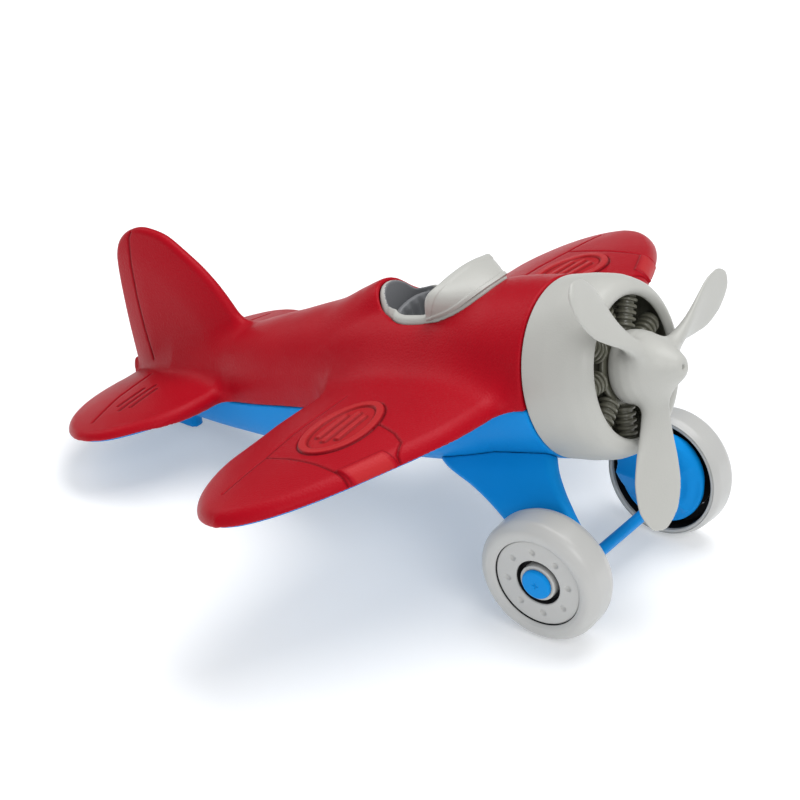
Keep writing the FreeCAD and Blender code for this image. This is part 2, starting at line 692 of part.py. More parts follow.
def build_propeller_shaft():
    shaft = x_cylinder(SHAFT_R, SHAFT_BACK, SHAFT_FRONT)
    groove = x_cylinder(5.0, GROOVE_BACK, GROOVE_FRONT).cut(groove_core())
    return largest_solid(shaft.cut(groove))


def build_shaft_clip():
    """Washer with a slot open at the top, seated in the shaft groove."""
    gap = 0.1
    slot_width = 3.2
    clip = x_cylinder(4.6, GROOVE_BACK + gap, GROOVE_FRONT - gap).cut(groove_core())
    slot = Part.makeBox(3.0, slot_width, 8.0, Vec(50.0, -slot_width / 2, 0.0))
    return largest_solid(clip.cut(slot))


# -------------------------------------------------------------------- wheels
CUP_R = 19.8                       # hollow inner side of the tyre
HUB_HOLE_R = 8.3
SLEEVE_R, SLEEVE_BORE_R = 6.6, STUB_R + 0.06
FLANGE_R = SLEEVE_R + 0.9
CAP_R = 5.45
DIMPLE_COUNT, DIMPLE_RING_R, DIMPLE_R = 8, 11.7, 1.1


def build_tyre():
    half, cup_floor = TYRE_HALF_W, DISC_FACE - 3.0
    return largest_solid(lathe([
        (half - 1.0, FACE_R, 0.3), (half - 0.2, FACE_R + 1.2, 0.8),
        (half, TYRE_R - 2.0, 4.0), (half - 3.0, TYRE_R, 5.0),
        (-half + 3.0, TYRE_R, 5.0), (-half, TYRE_R - 2.0, 1.6),
        (-half + 0.4, CUP_R, 0.5), (cup_floor, CUP_R, 1.0), (cup_floor, FACE_R, 0)]))


def build_wheel_disc():
    """Disc with an inward boss round the sleeve and dimples in its face."""
    disc_back, boss_end, recess = DISC_FACE - 2.8, -3.2, 1.4
    disc = lathe([
        (DISC_FACE, HUB_HOLE_R, 0.4), (DISC_FACE, FACE_R - 0.4, 0.5),
        (DISC_FACE - 0.5, FACE_R, 0), (disc_back, FACE_R, 0), (disc_back, 9.6, 1.0),
        (boss_end, 9.0, 0.4), (boss_end, SLEEVE_R, 0), (recess, SLEEVE_R, 0),
        (recess, HUB_HOLE_R, 0.3)])
    dimples = []
    for i in range(DIMPLE_COUNT):
        angle = math.radians(360.0 / DIMPLE_COUNT * i + 10.0)
        centre = Vec(DISC_FACE - 1.1, DIMPLE_RING_R * math.cos(angle),
                     DIMPLE_RING_R * math.sin(angle))
        dimples.append(Part.makeCylinder(DIMPLE_R, 3.0, centre, X_AXIS))
    return largest_solid(disc.cut(dimples[0].fuse(dimples[1:])))


def build_wheel_hub():
    """Sleeve on the axle stub, flanged at its inner end."""
    return largest_solid(lathe([
        (-3.6, SLEEVE_BORE_R, 0), (-3.6, FLANGE_R, 0.3), (-3.25, FLANGE_R, 0.1),
        (-3.25, SLEEVE_R, 0), (DISC_FACE + 0.2, SLEEVE_R, 0.4),
        (DISC_FACE + 0.2, SLEEVE_BORE_R, 0.2)]))


def build_axle_cap():
    """Cap with a pin that fills the bore of the stub."""
    back, front = DISC_FACE + 0.35, DISC_FACE + 1.9
    cap = lathe([
        (back, 0.0, 0), (back, CAP_R, 0.2), (DISC_FACE + 1.1, CAP_R, 0.3),
        (front, CAP_R - 1.1, 0.8), (front, 0.0, 0)])
    cap = cap.fuse(x_cylinder(STUB_BORE_R, -2.0, DISC_FACE + 0.6))
    return largest_solid(cap.cut(x_cylinder(1.0, DISC_FACE + 1.3, DISC_FACE + 3.0)))


# -------------------------------------------------------------------- export
parts = {
    "upper_body": stand(build_upper_body()),
    "lower_body": stand(build_lower_body()),
    "landing_gear": build_landing_gear(),
    "cowl": stand(build_cowl()),
    "engine": stand(build_engine()),
    "cockpit_insert": stand(build_cockpit_insert()),
    "windscreen": stand(build_windscreen()),
    "propeller": stand(build_propeller()),
    "propeller_shaft": stand(build_propeller_shaft()),
    "shaft_clip": stand(build_shaft_clip()),
}
for name, build in (("tyre", build_tyre), ("wheel_disc", build_wheel_disc),
                    ("wheel_hub", build_wheel_hub), ("axle_cap", build_axle_cap)):
    parts[name + "_right"] = on_wheel(build())
    parts[name + "_left"] = mirror(parts[name + "_right"])

os.makedirs("parts", exist_ok=True)
for name, shape in parts.items():
    # booleans on the lofts can leave small flaws
    if not shape.isValid():
        shape.fix(1e-4, 1e-4, 1e-4)
    shape.exportStep("parts/%s.step" % name)
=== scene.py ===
# A moulded toy aeroplane with low wings, standing on two wheels and a tail skid.
# The ground is z = 0, the nose points towards +X and the right wing towards -Y.
# Shapes are worked out in millimetres, most of them in the flight frame: x along the
# propeller axis with 0 at mid wing, y as in the world, z = 0 on the propeller axis.
import json
import math
import bpy
import bmesh
import numpy as np
from mathutils import Matrix, Vector


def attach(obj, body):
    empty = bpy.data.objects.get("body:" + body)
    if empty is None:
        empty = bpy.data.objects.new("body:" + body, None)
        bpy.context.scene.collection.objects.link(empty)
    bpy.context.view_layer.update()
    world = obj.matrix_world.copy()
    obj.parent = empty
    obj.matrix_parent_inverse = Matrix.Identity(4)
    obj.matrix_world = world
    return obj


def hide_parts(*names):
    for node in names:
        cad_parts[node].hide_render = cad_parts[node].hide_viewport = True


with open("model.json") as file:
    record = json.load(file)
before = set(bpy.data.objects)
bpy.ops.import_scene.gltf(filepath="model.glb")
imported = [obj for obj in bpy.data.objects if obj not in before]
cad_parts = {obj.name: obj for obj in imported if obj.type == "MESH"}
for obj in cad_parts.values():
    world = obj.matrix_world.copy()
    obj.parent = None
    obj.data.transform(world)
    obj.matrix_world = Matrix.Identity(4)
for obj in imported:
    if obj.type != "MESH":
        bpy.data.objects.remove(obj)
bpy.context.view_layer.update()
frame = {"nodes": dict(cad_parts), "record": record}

MM = 0.001


# ------------------------------------------------------------------ frames
def unit(vector):
    return vector / np.linalg.norm(vector)


JOINTS = {joint["name"]: joint for joint in frame["record"]["behaviour"]["joints"]}
PROPELLER_X = 88.4
FLIGHT_X = unit(np.array(JOINTS["propeller_spin"]["axis"], float))
FLIGHT_Y = np.array([0.0, 1.0, 0.0])
FLIGHT_Z = np.cross(FLIGHT_X, FLIGHT_Y)
FLIGHT_AXES = np.stack([FLIGHT_X, FLIGHT_Y, FLIGHT_Z], 1)
ORIGIN = np.array(JOINTS["propeller_spin"]["pos_m"], float) / MM - PROPELLER_X * FLIGHT_X
NOSE_FRAME = (ORIGIN, FLIGHT_X, FLIGHT_Y, FLIGHT_Z)


def to_world(points):
    return np.asarray(points, float) @ FLIGHT_AXES.T + ORIGIN


def to_flight(points):
    return (np.asarray(points, float) - ORIGIN) @ FLIGHT_AXES


def wheel_frame(side):
    """Centre of a wheel in world mm, its outward axis and two axes across it."""
    joint = JOINTS["wheel_%s_spin" % side]
    outward = unit(np.array(joint["axis"], float))
    centre = np.array(joint["pos_m"], float) / MM
    level = unit(np.cross([0.0, 0.0, 1.0], outward))
    return centre, outward, level, np.cross(outward, level)


# ------------------------------------------------------------------ curves
class Curve:
    """Monotone cubic through the given points, kept as a dense table."""

    def __init__(self, stations, values, count=900):
        x = np.array(stations, float)
        y = np.array(values, float)
        order = np.argsort(x)
        x, y = x[order], y[order]
        gap = np.diff(x)
        rise = np.diff(y) / gap
        slope = np.zeros(len(x))
        for i in range(1, len(x) - 1):
            if rise[i - 1] * rise[i] > 0:
                before = 2 * gap[i] + gap[i - 1]
                after = gap[i] + 2 * gap[i - 1]
                slope[i] = (before + after) / (before / rise[i - 1] + after / rise[i])
        slope[0], slope[-1] = rise[0], rise[-1]
        self.x = np.linspace(x[0], x[-1], count)
        k = np.clip(np.searchsorted(x, self.x) - 1, 0, len(x) - 2)
        s = (self.x - x[k]) / gap[k]
        self.y = ((1 + 2 * s) * (1 - s) ** 2 * y[k] + s * (1 - s) ** 2 * gap[k] * slope[k]
                  + s * s * (3 - 2 * s) * y[k + 1] + s * s * (s - 1) * gap[k] * slope[k + 1])

    def __call__(self, x):
        return np.interp(x, self.x, self.y)


def curves(rows):
    """One curve per column, over the first column."""
    stations, *columns = zip(*rows)
    return [Curve(stations, column) for column in columns]


def catmull(points, closed, steps):
    """Catmull-Rom spline through the points."""
    p = np.array(points, float)
    count = len(p)
    out = []
    for i in range(count if closed else count - 1):
        if closed:
            a, b, c, d = p[i - 1], p[i], p[(i + 1) % count], p[(i + 2) % count]
        else:
            a, b, c, d = p[max(i - 1, 0)], p[i], p[i + 1], p[min(i + 2, count - 1)]
        for k in range(steps):
            t = k / steps
            out.append(0.5 * ((2 * b) + (c - a) * t + (2 * a - 5 * b + 4 * c - d) * t * t
                              + (3 * b - a - 3 * c + d) * t ** 3))
    if not closed:
        out.append(p[-1])
    return np.array(out)


def line_distance(px, py, line, closed=False):
    """Unsigned distance to a polyline, and whether each point is inside a closed one."""
    start = np.asarray(line, float)
    end = np.roll(start, -1, 0) if closed else start[1:]
    if not closed:
        start = start[:-1]
    best = np.full(px.shape, 1e18)
    inside = np.zeros(px.shape, bool)
    for (x0, y0), (x1, y1) in zip(start, end):
        dx, dy = x1 - x0, y1 - y0
        length2 = dx * dx + dy * dy + 1e-18
        t = np.clip(((px - x0) * dx + (py - y0) * dy) / length2, 0, 1)
        np.minimum(best, (px - x0 - t * dx) ** 2 + (py - y0 - t * dy) ** 2, out=best)
        if closed:
            crosses = (y0 > py) != (y1 > py)
            if crosses.any():
                cross_x = x0 + (py - y0) * dx / (dy if abs(dy) > 1e-12 else 1e-12)
                inside ^= crosses & (px < cross_x)
    return np.sqrt(best), inside


class Outline:
    """Signed distance to a closed outline, read from a fine grid."""

    def __init__(self, points, pad=14.0, step=0.5):
        points = np.asarray(points, float)
        self.low = points.min(0) - pad
        self.count = np.ceil((points.max(0) + pad - self.low) / step).astype(int) + 1
        self.step = step
        grid_x = self.low[0] + np.arange(self.count[0]) * step
        grid_y = self.low[1] + np.arange(self.count[1]) * step
        x, y = np.meshgrid(grid_x, grid_y, indexing="ij")
        distance, inside = line_distance(x.ravel(), y.ravel(), points, closed=True)
        self.grid = np.where(inside, -distance, distance).reshape(x.shape)

    def __call__(self, x, y):
        low, count, step, g = self.low, self.count, self.step, self.grid
        u = np.clip((x - low[0]) / step, 0, count[0] - 1.001)
        v = np.clip((y - low[1]) / step, 0, count[1] - 1.001)
        i, j = u.astype(int), v.astype(int)
        fu, fv = u - i, v - j
        inner = (g[i, j] * (1 - fu) * (1 - fv) + g[i + 1, j] * fu * (1 - fv)
                 + g[i, j + 1] * (1 - fu) * fv + g[i + 1, j + 1] * fu * fv)
        beyond_x = np.maximum(np.maximum(low[0] - x, x - (low[0] + (count[0] - 1) * step)), 0)
        beyond_y = np.maximum(np.maximum(low[1] - y, y - (low[1] + (count[1] - 1) * step)), 0)
        return inner + np.hypot(beyond_x, beyond_y)


# ------------------------------------------------------------------ fields
# A field is a signed distance in mm, negative inside the solid.
def clamp(t):
    return np.clip(t, 0, 1)


def smoothstep(t):
    t = clamp(t)
    return t * t * (3 - 2 * t)


def join(a, b, radius):
    """Union with a fillet."""
    h = clamp(0.5 + 0.5 * (b - a) / radius)
    return b * (1 - h) + a * h - radius * h * (1 - h)


def meet(a, b, radius):
    """Intersection with a rounded edge."""
    return -join(-a, -b, radius)


def cut(solid, tool, radius):
    return meet(solid, -tool, radius)


def rounded(a, b, radius):
    """Rounded corner; a and b are measured from the centre of its radius."""
    return (np.hypot(np.maximum(a, 0), np.maximum(b, 0))
            + np.minimum(np.maximum(a, b), 0) - radius)


def box(x, y, cx, cy, half_x, half_y, radius):
    return rounded(np.abs(x - cx) - half_x + radius, np.abs(y - cy) - half_y + radius, radius)


def ellipse(x, y, radius_x, radius_y, floor=1e-9):
    k = np.sqrt((x / radius_x) ** 2 + (y / radius_y) ** 2) + 1e-9
    slope = np.sqrt((x / radius_x ** 2) ** 2 + (y / radius_y ** 2) ** 2) + floor
    return k * (k - 1) / slope


def cylinder(along, radial, start, end, radius, edge):
    return rounded(radial - radius + edge,
                   np.abs(along - (start + end) / 2) - (end - start) / 2 + edge, edge)


def panel(outline, height, half_edge, swell, reach, power, radius):
    """Slab inside an outline that thickens by swell over reach, inwards from its edge."""
    q = clamp(-outline / reach)
    half = half_edge + swell * (1 - (1 - q) ** power)
    return rounded(outline + radius, height - (half - radius), radius)


# ------------------------------------------------------------------ fields to meshes
COARSE = 4            # fine grid steps in a coarse one
CHUNK = 400000        # points worked out at a time


def sample(field, low, high, pitch):
    """Field on a grid: interpolated from a coarse grid, exact near the surface."""
    low, high = np.array(low, float), np.array(high, float)
    coarse = COARSE * pitch
    counts = np.ceil((high - low) / coarse).astype(int) + 1
    axes = [low[a] + np.arange(counts[a]) * coarse for a in range(3)]
    points = [g.ravel() for g in np.meshgrid(*axes, indexing="ij")]
    grid = field(*points).reshape(counts).astype(np.float32)
    for a in range(3):
        index = np.arange((counts[a] - 1) * COARSE + 1)
        cell = np.minimum(index // COARSE, counts[a] - 2)
        shape = [1, 1, 1]
        shape[a] = -1
        weight = ((index - cell * COARSE) / COARSE).reshape(shape).astype(np.float32)
        grid = grid.take(cell, a) * (1 - weight) + grid.take(cell + 1, a) * weight
    near = np.nonzero(np.abs(grid) < (coarse * 0.95 + 2 * pitch))
    values = np.empty(len(near[0]), np.float32)
    for start in range(0, len(values), CHUNK):
        part = slice(start, start + CHUNK)
        values[part] = field(*[low[a] + near[a][part] * pitch for a in range(3)])
    grid[near] = values
    for side in (0, -1):                    # the border is always outside
        grid[side] = grid[:, side] = grid[:, :, side] = 1e3
    return grid


def surface_nets(grid, low, pitch):
    """One vertex per crossed cell, one quad per crossed grid edge."""
    inside = grid < 0
    shape = np.array(grid.shape)
    steps = np.eye(3, dtype=int)
    cells, places, flips = [], [], []
    for axis in range(3):
        index = np.argwhere(np.diff(inside, axis=axis))
        others = [a for a in range(3) if a != axis]
        across = index[:, others]
        index = index[((across > 0) & (across < shape[others] - 1)).all(1)]
        f0 = grid[tuple(index.T)].astype(float)
        f1 = grid[tuple((index + steps[axis]).T)].astype(float)
        place = index.astype(float)
        place[:, axis] += f0 / (f0 - f1)
        u, v = steps[(axis + 1) % 3], steps[(axis + 2) % 3]
        quad = np.stack([index - u - v, index - v, index, index - u], 1)
        cells.append((quad[..., 0] * shape[1] + quad[..., 1]) * shape[2] + quad[..., 2])
        places.append(place)
        flips.append(inside[tuple(index.T)])
    cells, places, flips = [np.concatenate(a) for a in (cells, places, flips)]
    used, corner = np.unique(cells, return_inverse=True)
    corner = corner.reshape(cells.shape)
    count = np.bincount(corner.ravel(), minlength=len(used)).astype(float)
    sums = [np.bincount(corner.ravel(), np.repeat(places[:, a], 4), len(used)) for a in range(3)]
    verts = np.stack([total / count for total in sums], 1)
    quads = np.where(flips[:, None], corner, corner[:, ::-1])
    return verts * pitch + low, quads


def differences(field, points, step):
    """Change of the field from one step before to one step after, on each axis."""
    return np.stack([field(*(points + axis).T) - field(*(points - axis).T)
                     for axis in np.eye(3) * step], 1)


def relax(verts, quads, field, passes, pitch, step=0.02):
    """Even out the mesh and pull its vertices onto the surface."""
    edges = np.concatenate([quads[:, [a, (a + 1) % 4]] for a in range(4)])
    first, second = edges[:, 0], edges[:, 1]
    count = len(verts)
    degree = np.bincount(first, minlength=count) + np.bincount(second, minlength=count)
    degree = np.maximum(degree, 1)

    def project(v):
        value = field(*v.T)
        slope = differences(field, v, step) / (2 * step)
        steepness = np.maximum((slope * slope).sum(1), 0.2)
        move = np.clip(value / steepness, -0.6 * pitch, 0.6 * pitch)
        return v - move[:, None] * slope

    verts = project(verts)
    for _ in range(passes):
        mean = np.zeros_like(verts)
        for a in range(3):
            mean[:, a] = (np.bincount(first, verts[second, a], count)
                          + np.bincount(second, verts[first, a], count)) / degree
        verts = project(verts * 0.5 + mean * 0.5)
    return project(project(verts))


def new_part(name, verts, faces, body, slot, replaced, material=None):
    """Smooth mesh object from world mm; it takes the slot's material unless given one."""
    mesh = bpy.data.meshes.new(name)
    verts = np.asarray(verts, float) * MM
    mesh.from_pydata(verts.tolist(), [], [list(map(int, face)) for face in faces])
    mesh.update()
    part = bpy.data.objects.new(name, mesh)
    bpy.context.scene.collection.objects.link(part)
    mesh.polygons.foreach_set("use_smooth", np.ones(len(mesh.polygons), bool))
    mesh.materials.append(material or SLOT_MATERIALS[slot])
    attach(part, body)
    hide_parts(replaced)
    return part


def moulded_part(name, field, low, high, pitch, body, slot, replaced, passes=2,
                 place=to_world):
    """Part from a field; place takes the field's frame to the world."""
    verts, quads = surface_nets(sample(field, low, high, pitch), low, pitch)
    verts = relax(verts, quads, field, passes, pitch)
    return new_part(name, place(verts), quads, body, slot, replaced)


def paint_faces(part, material, chosen):
    """Second material for the faces picked by chosen, from face centres in world mm."""
    part.data.materials.append(material)
    centres = np.array([face.center[:] for face in part.data.polygons]) / MM
    for face, picked in zip(part.data.polygons, chosen(centres)):
        if picked:
            face.material_index = 1


# ------------------------------------------------------------------ materials
def set_inputs(tree, node, inputs):
    """Link the inputs that are given as sockets, set the others."""
    for key, value in inputs.items():
        if isinstance(value, bpy.types.NodeSocket):
            tree.links.new(value, node.inputs[key])
        else:
            node.inputs[key].default_value = value


def add_node(tree, kind, inputs, **settings):
    node = tree.nodes.new(kind)
    for key, value in settings.items():
        setattr(node, key, value)
    set_inputs(tree, node, inputs)
    return node


def mix_colors(tree, inputs):
    """Inputs are 0 for the factor, 6 and 7 for the two colours."""
    return add_node(tree, "ShaderNodeMix", inputs, data_type="RGBA").outputs[2]


def plastic(name, color, rough, grain, spec, mottle, grain_scale=1700.0, edge=0.25,
            tint=(1.0, 1.0, 1.0), bounce=None, relief_shade_and_highlight=None):
    """Matt moulded plastic.

    grain: strength of the fine bumps     mottle: unevenness of the colour
    edge: how much lighter the edges are  bounce: colour seen by diffuse rays
    relief: colours of the painted shade in the engraved lines and of the painted highlight on
    the raised marks
    """
    material = bpy.data.materials.new(name)
    material.use_nodes = True
    tree = material.node_tree
    coords = add_node(tree, "ShaderNodeTexCoord", {}).outputs["Object"]

    def noise(scale, detail):
        inputs = {"Scale": scale, "Detail": detail, "Vector": coords}
        return add_node(tree, "ShaderNodeTexNoise", inputs).outputs["Fac"]

    mottling = noise(scale=38.0, detail=4.0)
    base = mix_colors(tree, {0: mottling,
                             6: [x * (1 - mottle) for x in color] + [1],
                             7: [min(1, x * (1 + mottle) + 0.004) for x in color] + [1]})
    # base colour made lighter on sharp convex edges, by pointiness
    pointiness = add_node(tree, "ShaderNodeNewGeometry", {}).outputs["Pointiness"]
    edge_lightening = add_node(tree, "ShaderNodeMapRange", {
        "From Min": 0.52, "From Max": 0.62, "To Max": edge, "Value": pointiness})
    base = mix_colors(tree, {0: edge_lightening.outputs["Result"], 6: base,
                             7: [min(1, x * 1.25 + 0.03) for x in color] + [1]})
    if relief_shade_and_highlight:
        # line is painted shade in the grooves and round the raised marks, rise is a painted
        # highlight on the raised marks
        for attribute, tone, amount in (("line", relief_shade_and_highlight[0], 0.85), ("rise", relief_shade_and_highlight[1], 0.55)):
            mark = add_node(tree, "ShaderNodeAttribute", {}, attribute_name=attribute)
            scaled = add_node(tree, "ShaderNodeMath", {1: amount, 0: mark.outputs["Fac"]},
                              operation="MULTIPLY")
            base = mix_colors(tree, {0: scaled.outputs[0], 6: base, 7: list(tone) + [1]})
    if bounce:
        path = add_node(tree, "ShaderNodeLightPath", {})
        base = mix_colors(tree, {0: path.outputs["Is Diffuse Ray"], 6: base,
                                 7: list(bounce) + [1]})
    roughness = add_node(tree, "ShaderNodeMapRange", {
        "Value": noise(scale=120.0, detail=3.0), "To Min": rough - 0.05, "To Max": rough + 0.06})
    bump = add_node(tree, "ShaderNodeBump", {
        "Height": noise(scale=grain_scale, detail=2.0), "Strength": grain, "Distance": 0.0004})
    set_inputs(tree, tree.nodes["Principled BSDF"], {
        "Base Color": base, "Specular Tint": list(tint) + [1],
        "Roughness": roughness.outputs["Result"], "Normal": bump.outputs["Normal"],
        "Specular IOR Level": spec})
    return material


# red relief: a painted shade colour for the engraved lines and a painted highlight colour for
# the raised marks
RED = plastic("red_moulded", [0.385, 0.0, 0.008], rough=0.40, grain=0.36, grain_scale=1500.0,
              spec=0.30, mottle=0.05, edge=0.08, tint=(1.0, 0.30, 0.34),
              relief_shade_and_highlight=((0.075, 0.0, 0.002), (0.52, 0.035, 0.035)), bounce=(0.26, 0.06, 0.06))
BLUE = plastic("blue_moulded", [0.0, 0.25, 0.70], rough=0.42, grain=0.10, spec=0.26,
               mottle=0.04, edge=0.12, tint=(0.3, 0.85, 1.0), bounce=(0.13, 0.25, 0.40))
GREY = plastic("grey_moulded", [0.475, 0.475, 0.445], rough=0.41, grain=0.14, spec=0.36,
               mottle=0.025, edge=0.12)
# engine: its grey plastic made dark and olive, painted shade for its place inside the cowl
ENGINE_SHADED_GREY = plastic("engine_painted_shade", [0.135, 0.133, 0.100], rough=0.30, grain=0.12,
                      spec=0.75, mottle=0.08)
# darker grey for the inside of the cowl: painted shade on the cowl's grey plastic
COWL_INSIDE_SHADE = plastic("cowl_inside_painted_shade", [0.150, 0.150, 0.118], rough=0.45, grain=0.12,
                      spec=0.35, mottle=0.06)
# darker grey for the cockpit's inside: painted shade on the grey insert
COCKPIT_INSIDE_SHADE = plastic("cockpit_inside_painted_shade", [0.170, 0.175, 0.185], rough=0.42, grain=0.14,
                         spec=0.40, mottle=0.05)
WHEEL_GREY = plastic("wheel_moulded", [0.49, 0.49, 0.475], rough=0.30, grain=0.06,
                     spec=0.5, mottle=0.025)
# near black for the wheel's recesses: painted shade on the grey wheel plastic
WHEEL_RECESS_SHADE = plastic("wheel_recess_painted_shade", [0.012, 0.012, 0.014], rough=0.6, grain=0.1,
                     grain_scale=1900.0, spec=0.2, mottle=0.2)
SLOT_MATERIALS = {"red_plastic": RED, "blue_plastic": BLUE, "grey_plastic": GREY,
                  "wheel_plastic": WHEEL_GREY}

# ------------------------------------------------------------------ body surface
# fuselage stations: x, half width, z of the top, z of the belly, z of the widest line
FUSELAGE = [
    (56.7, 30.9, 30.9, -30.9, 0.0), (46.0, 30.9, 30.9, -30.9, 0.0),
    (40.0, 30.9, 30.8, -30.9, 0.0), (32.0, 30.9, 30.0, -30.9, 0.0),
    (24.0, 30.8, 28.4, -30.9, -0.1), (16.0, 30.6, 27.1, -30.8, -0.3),
    (8.0, 30.3, 26.5, -30.8, -0.5), (-4.0, 29.5, 26.3, -30.5, -0.9),
    (-14.0, 28.4, 26.0, -30.2, -1.2), (-24.0, 27.0, 25.2, -29.8, -1.6),
    (-38.0, 24.9, 22.8, -29.2, -2.1), (-56.0, 22.1, 20.2, -28.4, -2.8),
    (-76.0, 18.9, 16.9, -27.2, -3.5), (-92.0, 15.4, 13.6, -25.2, -4.2),
    (-108.0, 12.0, 10.8, -22.6, -4.8), (-122.0, 8.6, 8.4, -19.6, -5.3),
    (-134.0, 5.4, 5.6, -16.0, -5.6), (-143.5, 2.7, 2.6, -12.0, -5.8)]
NOSE_X, TAIL_END_X = FUSELAGE[0][0], FUSELAGE[-1][0]
HALF_WIDTH, TOP_Z, BELLY_Z, WIDEST_Z = curves(FUSELAGE)
# round ridge behind the cockpit: x, radius, z of its centre
RIDGE_RADIUS, RIDGE_Z = curves([
    (-150, 0.6, -5.6), (-134, 3.2, -5.4), (-122, 6.2, -5.2), (-108, 9.6, -4.8),
    (-90, 13.7, -4.1), (-62, 19.0, -1.2), (-50, 18.6, 2.4), (-38, 17.0, 7.1),
    (-24, 13.0, 16.6), (-14, 10.4, 22.1), (-8, 9.4, 23.2), (4, 9.0, 23.4)])
# line between the upper and lower shells: x, z, then smoothed
PART_LINE = [(-170.0, -5.0), (-100.0, -5.0), (-88.0, -8.2), (-40.0, -6.6),
             (-28.0, -1.5), (44.0, -1.5), (56.7, -3.0), (80.0, -3.2)]
PART_X = np.linspace(-170, 80, 1001)
PART_WINDOW = np.hanning(31)
PART_WINDOW /= PART_WINDOW.sum()
PART_Z = np.convolve(np.pad(np.interp(PART_X, *zip(*PART_LINE)), 15, mode="edge"),
                     PART_WINDOW, "valid")
WING_Z, TAIL_Z = -1.5, -5.0
# wing plan: y, x of the leading edge, x of the trailing edge
WING = [(14.0, 52.4, -31.0), (27.0, 51.6, -30.0), (33.0, 50.4, -28.8), (40.0, 49.2, -27.7),
        (49.0, 48.2, -27.9), (60.0, 46.2, -28.0), (70.0, 42.8, -27.2), (79.0, 38.9, -26.6),
        (88.0, 35.0, -26.0), (96.0, 31.4, -24.4), (104.0, 27.2, -21.8), (111.0, 22.8, -18.6),
        (117.0, 18.2, -14.6), (122.0, 13.0, -9.6), (125.2, 8.0, -4.2), (126.9, 2.0, 1.4)]
# tailplane plan, same columns
TAIL = [(9.0, -89.6, -145.6), (16.0, -89.2, -146.4), (24.0, -89.4, -146.6),
        (32.0, -90.6, -145.8), (40.0, -93.2, -143.6), (47.0, -97.0, -140.2),
        (53.0, -102.2, -135.4), (57.5, -107.6, -129.8), (60.2, -113.0, -124.4),
        (61.0, -118.6, -118.8)]
# fin outline: x, z
FIN = [(-84.0, -14.0), (-83.4, 2.0), (-84.2, 10.0), (-86.8, 17.7), (-92.7, 29.2),
       (-98.6, 37.5), (-105.5, 44.7), (-112.3, 50.8), (-118.3, 53.6), (-124.5, 54.9),
       (-131.1, 53.6), (-136.1, 50.4), (-139.1, 45.7), (-140.6, 40.0), (-141.8, 31.8),
       (-143.0, 20.4), (-143.6, 11.1), (-144.0, 2.9), (-144.4, -4.3), (-144.0, -14.0)]
# cockpit opening, the half at +y: x, y
OPENING = [(34.0, 0.0), (32.9, 6.0), (30.3, 10.0), (26.6, 13.0), (21.9, 15.0), (17.1, 16.0),
           (12.5, 16.3), (7.0, 16.3), (2.0, 16.0), (-2.0, 14.9), (-5.0, 13.0), (-8.0, 11.3),
           (-10.5, 9.8), (-12.6, 7.8), (-14.0, 5.2), (-14.8, 2.4), (-15.0, 0.0)]


def both_sides(plan):
    """Closed outline of a panel and its mirror image."""
    half = [(lead, y) for y, lead, _ in plan] + [(trail, y) for y, _, trail in plan[::-1]]
    return Outline(catmull(half + [(x, -y) for x, y in half[::-1]], True, 6))


wing_outline = both_sides(WING)
tail_outline = both_sides(TAIL)
fin_outline = Outline(catmull(FIN, True, 6))
opening = Outline(catmull(OPENING + [(x, -y) for x, y in OPENING[-2:0:-1]], True, 8),
                  pad=20.0, step=0.4)
# wing section: y, half thickness, distance from the edge to full thickness
WING_HALF, WING_REACH = curves([
    (0, 11.4, 36), (40, 10.8, 34), (60, 9.9, 32), (79, 9.0, 29),
    (96, 8.1, 25), (111, 7.0, 20), (122, 5.8, 13), (128, 4.8, 9)])
TAIL_HALF = Curve([0, 20, 40, 62], [6.6, 6.0, 5.2, 3.8])          # half thickness over y
FIN_HALF = Curve([-15, -5, 5, 12, 18, 30, 44, 50, 56],            # half thickness over z
                 [7.0, 6.8, 6.0, 5.4, 5.0, 4.4, 3.7, 3.2, 2.4])
WING_EDGE, TAIL_EDGE, FIN_EDGE = 4.0, 3.0, 1.9    # edge radii
TOP_POWER, BELLY_POWER = 2.08, 2.6                # squareness of the section; 2 is elliptic
WALL = 2.3                                        # thickness of both shells
SEAM = 0.12                                       # each shell's distance from the part line
RIM_X = 56.3                                      # front rim of both shells
BORE_R, BORE_X = 28.5, 49.0                       # round opening in the nose


def fuselage(x, y, z):
    xc = np.clip(x, TAIL_END_X, NOSE_X)
    half, middle = HALF_WIDTH(xc), WIDEST_Z(xc)
    up = z > middle
    height = np.where(up, TOP_Z(xc) - middle, middle - BELLY_Z(xc))
    k = clamp((xc - 12) / 20)                     # the section turns elliptic towards the nose
    power = np.where(up, TOP_POWER + (2.0 - TOP_POWER) * k,
                     BELLY_POWER + (2.0 - BELLY_POWER) * k)
    dz = z - middle
    q = (np.abs(y) / half) ** power + (np.abs(dz) / height) ** power
    scale = np.maximum(q, 1e-9) ** (1 / power)
    radial = np.hypot(y, dz)
    d = radial - radial / scale
    d = np.where(radial < 1e-6, -np.minimum(half, height), d)
    xr = np.clip(x, -150, 4)
    ridge = np.hypot(y, z - RIDGE_Z(xr)) - RIDGE_RADIUS(xr)
    ridge = np.maximum(ridge, (x - 2.0) * 0.7)
    return join(d, ridge, 4.0)


def wings(x, y, z):
    ay = np.abs(y)
    return panel(wing_outline(x, y), np.abs(z - WING_Z), half_edge=WING_EDGE,
                 swell=WING_HALF(ay) - WING_EDGE, reach=WING_REACH(ay), power=2.2,
                 radius=WING_EDGE)


def tailplane(x, y, z):
    return panel(tail_outline(x, y), np.abs(z - TAIL_Z), half_edge=TAIL_EDGE,
                 swell=TAIL_HALF(np.abs(y)) - TAIL_EDGE, reach=24.0, power=2.0,
                 radius=TAIL_EDGE)


